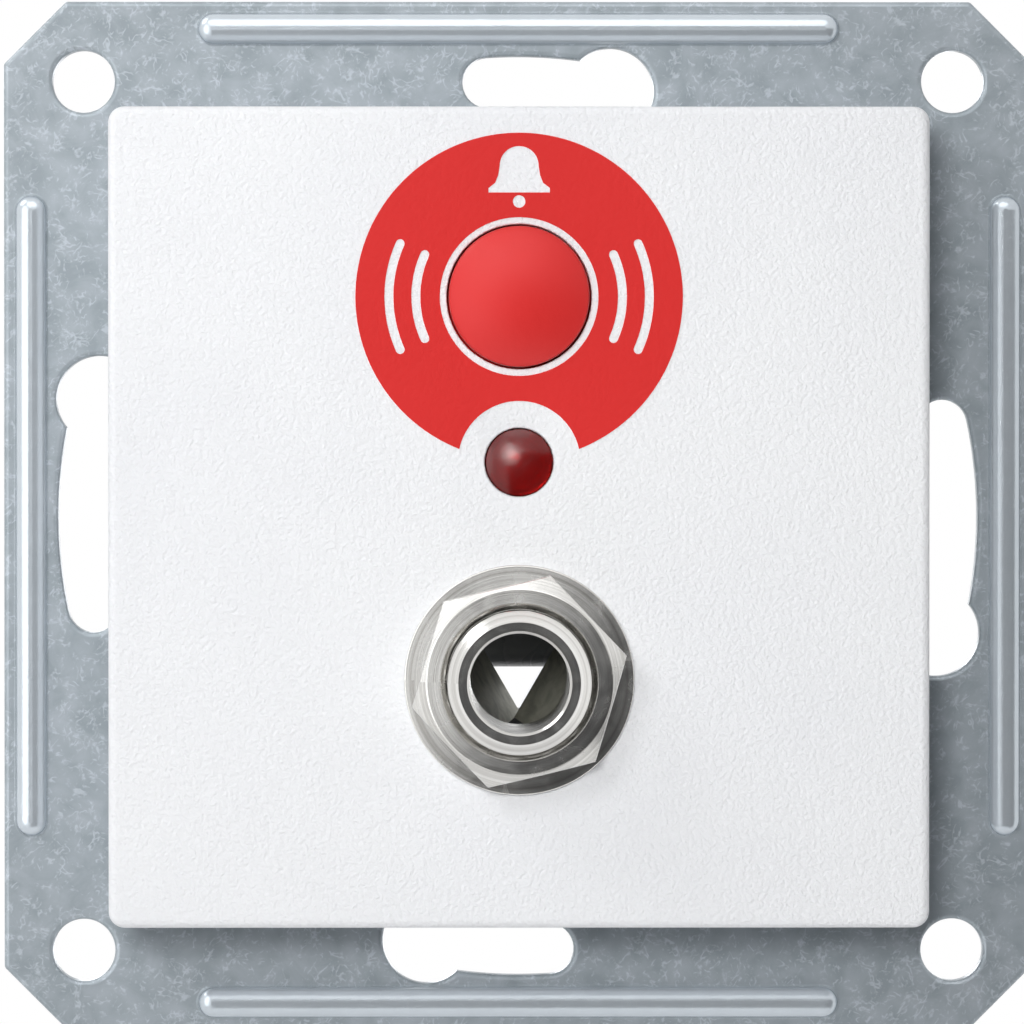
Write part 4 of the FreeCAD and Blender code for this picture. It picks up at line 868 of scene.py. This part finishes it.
def makePushButton(look):
    radius, inner, edge = look["radius"], look["radius"] - look["wall"], look["edge"]
    stem, end, cut = look["stemRadius"], look["stemEnd"], look["stemChamfer"]
    dome = domeProfile(radius, edge, look["crown"])
    # the rounded edge between the side and the dome
    corner = look["edgeRounding"]
    slope = math.asin(radius / ballUnder(radius, look["crown"] - edge))
    reach = corner * math.tan((math.pi / 2 - slope) / 2)
    bend = arcPoints((radius - corner, edge - reach), corner, 0, look["edgeTurn"], steps=6)
    kept = [point for point in dome if point[0] < bend[-1][0] - look["edgeGap"]]
    profile = [
        (0.0, end), (stem - cut, end), (stem, end + cut), (stem, look["roof"]), (inner, look["roof"]),
        (inner, look["flangeBack"]), (look["flangeRadius"], look["flangeBack"]),
        (look["flangeRadius"], look["flangeFront"]), (radius, look["flangeFront"]),
    ] + bend + kept
    return looseObject("pushButton", turnedMesh(profile, look["centre"], steps=128))


finishPiece(makePushButton(pushButton), "redButton", ["button_cap"], "call_button")

returnSpring = {"centre": buttonCentre, "radius": 4.85, "wire": 0.17, "turns": 4, "low": 3.19,
                "high": 8.01, "board": 3.0, "travel": 0.8, "stepsPerTurn": 48, "sides": 10}


def makeReturnSpring(look):
    bm = bmesh.new()
    steps, sides = look["turns"] * look["stepsPerTurn"], look["sides"]
    rings = []
    for step in range(steps + 1):
        angle = 2 * math.pi * look["turns"] * step / steps
        outward = Vector((math.cos(angle), 0, math.sin(angle)))
        height = look["low"] + (look["high"] - look["low"]) * step / steps
        middle = spot(look["centre"], height) + outward * look["radius"]
        ring = []
        for side in range(sides):
            around = 2 * math.pi * side / sides
            lift = outward * math.cos(around) + Vector((0, math.sin(around), 0))
            ring.append(bm.verts.new(middle + lift * look["wire"]))
        rings.append(ring)
    joinAll(bm, rings)
    capEnds(bm, rings[0], rings[-1])
    return looseObject("returnSpring", bm)


spring = finishPiece(makeReturnSpring(returnSpring), "springWire",
                     ["return_spring"], sharp=60)
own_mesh(spring)
print("call button made")


# Lamp and its lens

lampLens = {"centre": lampCentre, "radius": 2.2, "edge": 11.05, "crown": 11.35, "flangeRadius": 2.8,
            "flangeFront": 9.0, "end": 8.0, "innerRadius": 1.76, "innerTop": 9.6}
lampBulb = {"centre": lampCentre, "radius": 1.5, "bottom": 3.9, "flangeRadius": 1.9, "flangeTop": 4.6,
            "domeEdge": 6.0, "top": 7.3}


def makeLampLens(look):
    profile = [(0.0, look["innerTop"]), (look["innerRadius"], look["flangeFront"]),
               (look["innerRadius"], look["end"]), (look["flangeRadius"], look["end"]),
               (look["flangeRadius"], look["flangeFront"]), (look["radius"], look["flangeFront"])]
    profile += domeProfile(look["radius"], look["edge"], look["crown"], steps=12)
    return looseObject("lampLens", turnedMesh(profile, look["centre"]))


def makeLampBulb(look):
    profile = [(0.0, look["bottom"]), (look["flangeRadius"], look["bottom"]),
               (look["flangeRadius"], look["flangeTop"]), (look["radius"], look["flangeTop"])]
    profile += domeProfile(look["radius"], look["domeEdge"], look["top"], steps=12)
    return looseObject("lampBulb", turnedMesh(profile, look["centre"], steps=48))


finishPiece(makeLampLens(lampLens), "redLens", ["indicator_lens"])
finishPiece(makeLampBulb(lampBulb), "lampResin", ["indicator_led"])
print("lamp made")


# Jack socket

washer = {"inner": 4.9, "outer": 7.7, "back": 11.0, "front": 11.7, "rounding": 0.12, "dish": 0.3}
nut = {"acrossFlats": 12.7, "back": 11.7, "front": 14.5, "bore": 4.8, "boreChamfer": 0.3,
       "countersink": 0.4, "face": 6.15, "chamferAngle": 30.0, "turn": 13.5, "dish": 0.1}
bushing = {
    "bore": 3.3, "thread": 4.75, "end": 16.5, "bevel": 0.72, "mouth": 3.46, "mouthDepth": 0.14,
    "flangeRadius": 6.8, "flangeFront": 9.0, "flangeBack": 7.8, "spigot": 4.95, "spigotEnd": 4.8,
    "pitch": 0.79, "threadDepth": 0.36, "threadStart": 0.15, "threadFlat": 0.12, "threadFade": (0.4, 0.2),
    "stepsPerPitch": 14,
}


def makeWasher(look):
    profile = roundedLoop([(look["inner"], look["back"]), (look["outer"], look["back"]),
                           (look["outer"], look["front"] - look["dish"]), (look["inner"], look["front"])],
                          look["rounding"], steps=4)
    return looseObject("jackWasher", turnedMesh(profile, jackCentre, steps=144))


def makeNut(look):
    flat, slope = look["acrossFlats"] / 2, math.tan(math.radians(look["chamferAngle"]))
    bore, face, back, front = look["bore"], look["face"], look["back"], look["front"]
    cut, sink, rim = look["boreChamfer"], look["countersink"], look["front"] - look["dish"]

    def hexShape(radius, level, angle):
        # a point outside the round face moves out to the flats and down the chamfer
        if radius <= face:
            return radius, level
        lean = (angle - math.radians(look["turn"])) % (math.pi / 3) - math.pi / 6
        reach = flat / math.cos(lean)
        drop = (reach - face) * slope
        return reach, (level - drop if level > back else level + drop)

    outside = face + 1  # hexShape puts any radius past the face on the flats
    profile = [(bore, back + cut), (bore + cut, back), (face, back), (outside, back), (outside, rim),
               (face, rim), (bore + sink, front), (bore, front - sink)]
    return looseObject("jackNut", turnedMesh(profile, jackCentre, 120, look["turn"], hexShape))


def makeBushing(look):
    bore, thread, end = look["bore"], look["thread"], look["end"]
    spigot, flange, flangeBack = look["spigot"], look["flangeRadius"], look["flangeBack"]
    flangeFront, bevel, crestFlat = look["flangeFront"], look["bevel"], look["threadFlat"]
    low, high = flangeFront + look["threadStart"], end - bevel
    fadeLow, fadeHigh = look["threadFade"]

    def threadShape(radius, front, angle):
        # a point on the thread sinks into the groove, which fades out at both ends
        if radius != thread or not low <= front <= high:
            return radius, front
        phase = (front / look["pitch"] + angle / (2 * math.pi)) % 1.0
        slope = min(1.0, max(0.0, (abs(2 * phase - 1) - crestFlat) / (1 - 2 * crestFlat)))
        fade = min(1.0, (front - low) / fadeLow, (high - front) / fadeHigh)
        return radius - look["threadDepth"] * slope * max(0.0, fade), front

    count = int((high - low) / look["pitch"] * look["stepsPerPitch"])
    threaded = [(thread, low + (high - low) * step / count) for step in range(count + 1)]
    profile = [
        (bore, look["spigotEnd"]), (spigot, look["spigotEnd"]), (spigot, flangeBack), (flange, flangeBack),
        (flange, flangeFront), (thread, flangeFront),
    ] + threaded + [
        (thread - bevel, end), (look["mouth"], end), (bore, end - look["mouthDepth"]),
    ]
    return looseObject("jackBushing", turnedMesh(profile, jackCentre, 144, 0.0, threadShape))


finishPiece(makeWasher(washer), "turnedNickel", ["jack_washer"])
finishPiece(makeNut(nut), "turnedNickel", ["jack_nut"], sharp=20, bevel=0.05)
finishPiece(makeBushing(bushing), "nickelThread", ["jack_bushing"], sharp=25)

carrier = {
    "radius": 6.8, "socket": 5.0, "bore": 4.65, "front": 7.4, "spigotEnd": 4.8, "back": -16.8,
    "stop": -14.8, "portHalf": 3.2, "portTop": -0.3, "portBottom": -3.3, "portRounding": 1.8,
    "windowHalf": 3.4, "windowInner": 3.5, "windowFront": 1.4, "windowBack": -12.3,
    "windowAngles": (330.0, 210.0), "cutPast": 1.0, "portOverlap": 0.2,
}
contactBlades = {
    "halfWidth": 3.0, "thickness": 0.35, "slant": 0.4, "foot": 9.6, "root": 4.35, "seat": 1.4, "bend": 0.3,
    "blades": {"ring": (330.0, 1.4, -3.8, 3.0, -7.2), "tip": (210.0, 1.45, -10.2, 2.6, -12.4)},
}


def makeCarrier(look):
    radius, back, stop, spigotEnd = look["radius"], look["back"], look["stop"], look["spigotEnd"]
    profile = [(0.0, back), (radius, back), (radius, look["front"]), (look["socket"], look["front"]),
               (look["socket"], spigotEnd), (look["bore"], spigotEnd), (look["bore"], stop), (0.0, stop)]
    tube = looseObject("jackCarrier", turnedMesh(profile, jackCentre))
    bm = bmesh.new()
    # the port through the end wall, with a rounded top edge towards the bore
    soft, top, past = look["portRounding"], look["portTop"], look["cutPast"]
    within = stop + look["portOverlap"]
    outline = [(up, front) for front, up in arcPoints((stop - soft, top + soft), soft, 0, -90, steps=12)]
    outline += [(top, back - past), (look["portBottom"], back - past), (look["portBottom"], within),
                (top + soft, within)]
    addSpunSlab(bm, outline, look["portHalf"], 90.0, jackCentre)
    window = boxLoop(look["windowInner"], look["windowBack"], radius + past, look["windowFront"])
    for angle in look["windowAngles"]:
        addSpunSlab(bm, window, look["windowHalf"], angle, jackCentre)
    return combine(tube, looseObject("carrierWindows", bm), "DIFFERENCE")


def makeBlade(look, name):
    angle, crestOut, crestFront, tip, tipFront = look["blades"][name]
    foot, root, seat = look["foot"], look["root"], look["seat"]
    thin, slant = look["thickness"], look["slant"]
    outline = [(foot, seat), (root, seat), (crestOut, crestFront), (tip, tipFront), (tip + slant, tipFront),
               (crestOut + slant, crestFront), (root + slant, seat - thin), (foot, seat - thin)]
    steps = 6
    rounded = roundedLoop(outline, look["bend"], steps)
    squareCorners = (0, 3, 4, 7)
    corners = []
    for i, corner in enumerate(outline):
        arc = rounded[i * (steps + 1):(i + 1) * (steps + 1)]
        corners += [corner] if i in squareCorners else arc
    bm = bmesh.new()
    addSpunSlab(bm, corners, look["halfWidth"], angle, jackCentre)
    return looseObject("contact" + name.capitalize(), bm)


finishPiece(makeCarrier(carrier), "darkCarrier", ["jack_carrier"])
for bladeName in contactBlades["blades"]:
    finishPiece(makeBlade(contactBlades, bladeName), "contactStrip",
                [f"jack_{bladeName}_spring"], sharp=40, bevel=0.05)
print("jack socket made")


# The carried-over solids

carriedFinish = {
    "switch_base": "switchBlack", "switch_cover": "brightSteel", "switch_plunger": "switchBlack",
    "switch_dome": "brightSteel", "switch_legs": "tinned", "led_legs": "tinned",
    "circuit_board": "boardGreen", "board_resistors": "resistorLacquer", "board_diodes": "diodeBlack",
    "board_screws": "brightSteel", "insert_housing": "paleHousing", "jack_ground_tag": "tinned",
    "terminal_block": "terminalGrey", "terminal_clamps": "platedBrass", "terminal_screws": "brightSteel",
    "terminal_pins": "tinned",
}
for name, finish in carriedFinish.items():
    giveFinish(nodes[name], finish)


# Camera

shot = {"place": (-2.0, 3.0), "distance": 311.0, "aim": (-0.42, 0.27), "lens": 157.8, "sensor": 36.0,
        "clip": (0.01, 20.0)}


def pointAt(thing, aim):
    thing.rotation_euler = (aim - thing.location).to_track_quat("-Z", "Y").to_euler()
    scene.collection.objects.link(thing)


def makeCamera(look):
    camera = bpy.data.objects.new("camera", bpy.data.cameras.new("camera"))
    camera.data.lens, camera.data.sensor_width = look["lens"], look["sensor"]
    camera.data.clip_start, camera.data.clip_end = look["clip"]
    camera.location = spot(look["place"], look["distance"]) * metresPerMm
    pointAt(camera, spot(look["aim"], 0.0) * metresPerMm)
    scene.camera = camera


makeCamera(shot)


# Studio: lamps, backdrop and floor

neutral, warm = (1.0, 1.0, 1.0), (1.0, 0.995, 0.985)
cool, cold = (0.98, 0.99, 1.0), (0.97, 0.985, 1.0)
lamps = {
    "key": {"from": (-36.0, 48.0, 290.0), "size": (0.07, 0.07), "power": 0.48, "colour": warm,
            "mirrored": False},
    "fill": {"from": (-90.0, 90.0, 180.0), "size": (0.08, 0.08), "power": 0.1, "colour": cool,
             "mirrored": False},
    "rim": {"from": (-260.0, 260.0, 110.0), "size": (0.2, 0.2), "power": 0.26, "colour": cool},
    "above": {"from": (-12.0, 200.0, 240.0), "size": (0.28, 0.17), "power": 0.17, "colour": cold,
              "lights": False},
    "beside": {"from": (-200.0, 12.0, 240.0), "size": (0.17, 0.28), "power": 0.17, "colour": cold,
               "lights": False},
    "sideRight": {"from": (380.0, 60.0, -60.0), "size": (0.2, 0.2), "power": 0.26, "mirrored": False},
    "sideLeft": {"from": (-380.0, -30.0, -60.0), "size": (0.2, 0.2), "power": 0.33, "mirrored": False},
    "top": {"from": (40.0, 380.0, -60.0), "size": (0.2, 0.2), "power": 0.42, "mirrored": False},
    "behindLeft": {"from": (-150.0, 130.0, -420.0), "size": (0.25, 0.25), "power": 0.75},
    "behindRight": {"from": (170.0, -40.0, -420.0), "size": (0.25, 0.25), "power": 0.45},
}
studio = {
    "ambient": 0.1, "ambientColour": (0.95, 0.97, 1.0, 1.0), "white": (1, 1, 1, 1),
    "floorColour": (0.9, 0.9, 0.91, 1), "floorRoughness": 0.9, "floorWhite": 0.35, "floorBelow": 140.0,
    "floorReach": 190.0, "floorFade": 120.0,
    "cardDistance": 640.0, "cardSpan": (-115.0, -1100.0, 1100.0, 115.0), "cardTone": 0.22,
}


def makeLamps(looks):
    # a lamp lights the object unless "lights" is off, and shows in its gloss unless "mirrored" is off
    for name, look in looks.items():
        lamp = bpy.data.objects.new(name + "Lamp", bpy.data.lights.new(name + "Lamp", "AREA"))
        lamp.data.shape = "ELLIPSE"
        lamp.data.size, lamp.data.size_y = look["size"]
        lamp.data.energy, lamp.data.color = look["power"], look.get("colour", neutral)
        x, up, front = look["from"]
        lamp.location = spot((x, up), front) * metresPerMm
        pointAt(lamp, Vector())
        lamp.visible_camera = False
        lamp.visible_diffuse = look.get("lights", True)
        lamp.visible_glossy = look.get("mirrored", True)


def backdropRays(tree):
    # 1 for the rays that look at the backdrop: seen directly, in a reflection or through glass
    path = add(tree, "LightPath").outputs
    direct = maths(tree, "MAXIMUM", path["Is Camera Ray"], path["Is Glossy Ray"])
    return maths(tree, "MAXIMUM", direct, path["Is Transmission Ray"])


def makeWorld(look):
    world = bpy.data.worlds.new("studio")
    scene.world = world
    world.use_nodes = True
    tree = world.node_tree
    tree.nodes.clear()
    plain = add(tree, "Background", {"Color": look["ambientColour"], "Strength": look["ambient"]})
    white = add(tree, "Background", {"Color": look["white"], "Strength": 1.0})
    mix = add(tree, "MixShader", {0: backdropRays(tree), 1: plain.outputs[0], 2: white.outputs[0]})
    add(tree, "OutputWorld", {"Surface": mix.outputs[0]})


def makeFloor(look):
    # a pale disc that fades into the white round it and keeps the object's shadow near the middle
    material, tree, surface = newMaterial("paleFloor")
    surface["Base Color"].default_value = look["floorColour"]
    surface["Roughness"].default_value = look["floorRoughness"]
    place = partsOf(tree, placeMm(tree))
    reach, outer = reachOf(tree, place["X"], place["Y"]), look["floorReach"]
    fade = between(tree, reach, outer - look["floorFade"], outer, look["floorWhite"], 1.0)
    white = add(tree, "Emission", {"Color": look["white"], "Strength": 1.0})
    body = tree.nodes["Principled BSDF"].outputs[0]
    factor = times(tree, fade, backdropRays(tree))
    mix = add(tree, "MixShader", {0: factor, 1: body, 2: white.outputs[0]})
    feed(tree, tree.nodes["Material Output"].inputs, Surface=mix.outputs[0])
    bm = bmesh.new()
    bmesh.ops.create_circle(bm, cap_ends=True, segments=96, radius=look["floorReach"])
    floor = looseObject("floor", bm)
    floor.location.z = -look["floorBelow"] * metresPerMm
    floor.data.materials.append(material)


def makeDarkCard(look):
    # a dark card behind the camera, seen only in reflections, as photographers hang one for metal
    material, tree, surface = newMaterial("darkCard")
    surface["Base Color"].default_value = (look["cardTone"],) * 3 + (1,)
    surface["Roughness"].default_value = 1.0
    bm = bmesh.new()
    bm.faces.new([bm.verts.new(spot(point, look["cardDistance"])) for point in boxLoop(*look["cardSpan"])])
    card = looseObject("darkCard", bm)
    card.data.materials.append(material)
    card.visible_camera = card.visible_diffuse = card.visible_shadow = False


makeLamps(lamps)
makeWorld(studio)
makeFloor(studio)
makeDarkCard(studio)
scene.view_settings.view_transform = "Standard"
print("studio made")
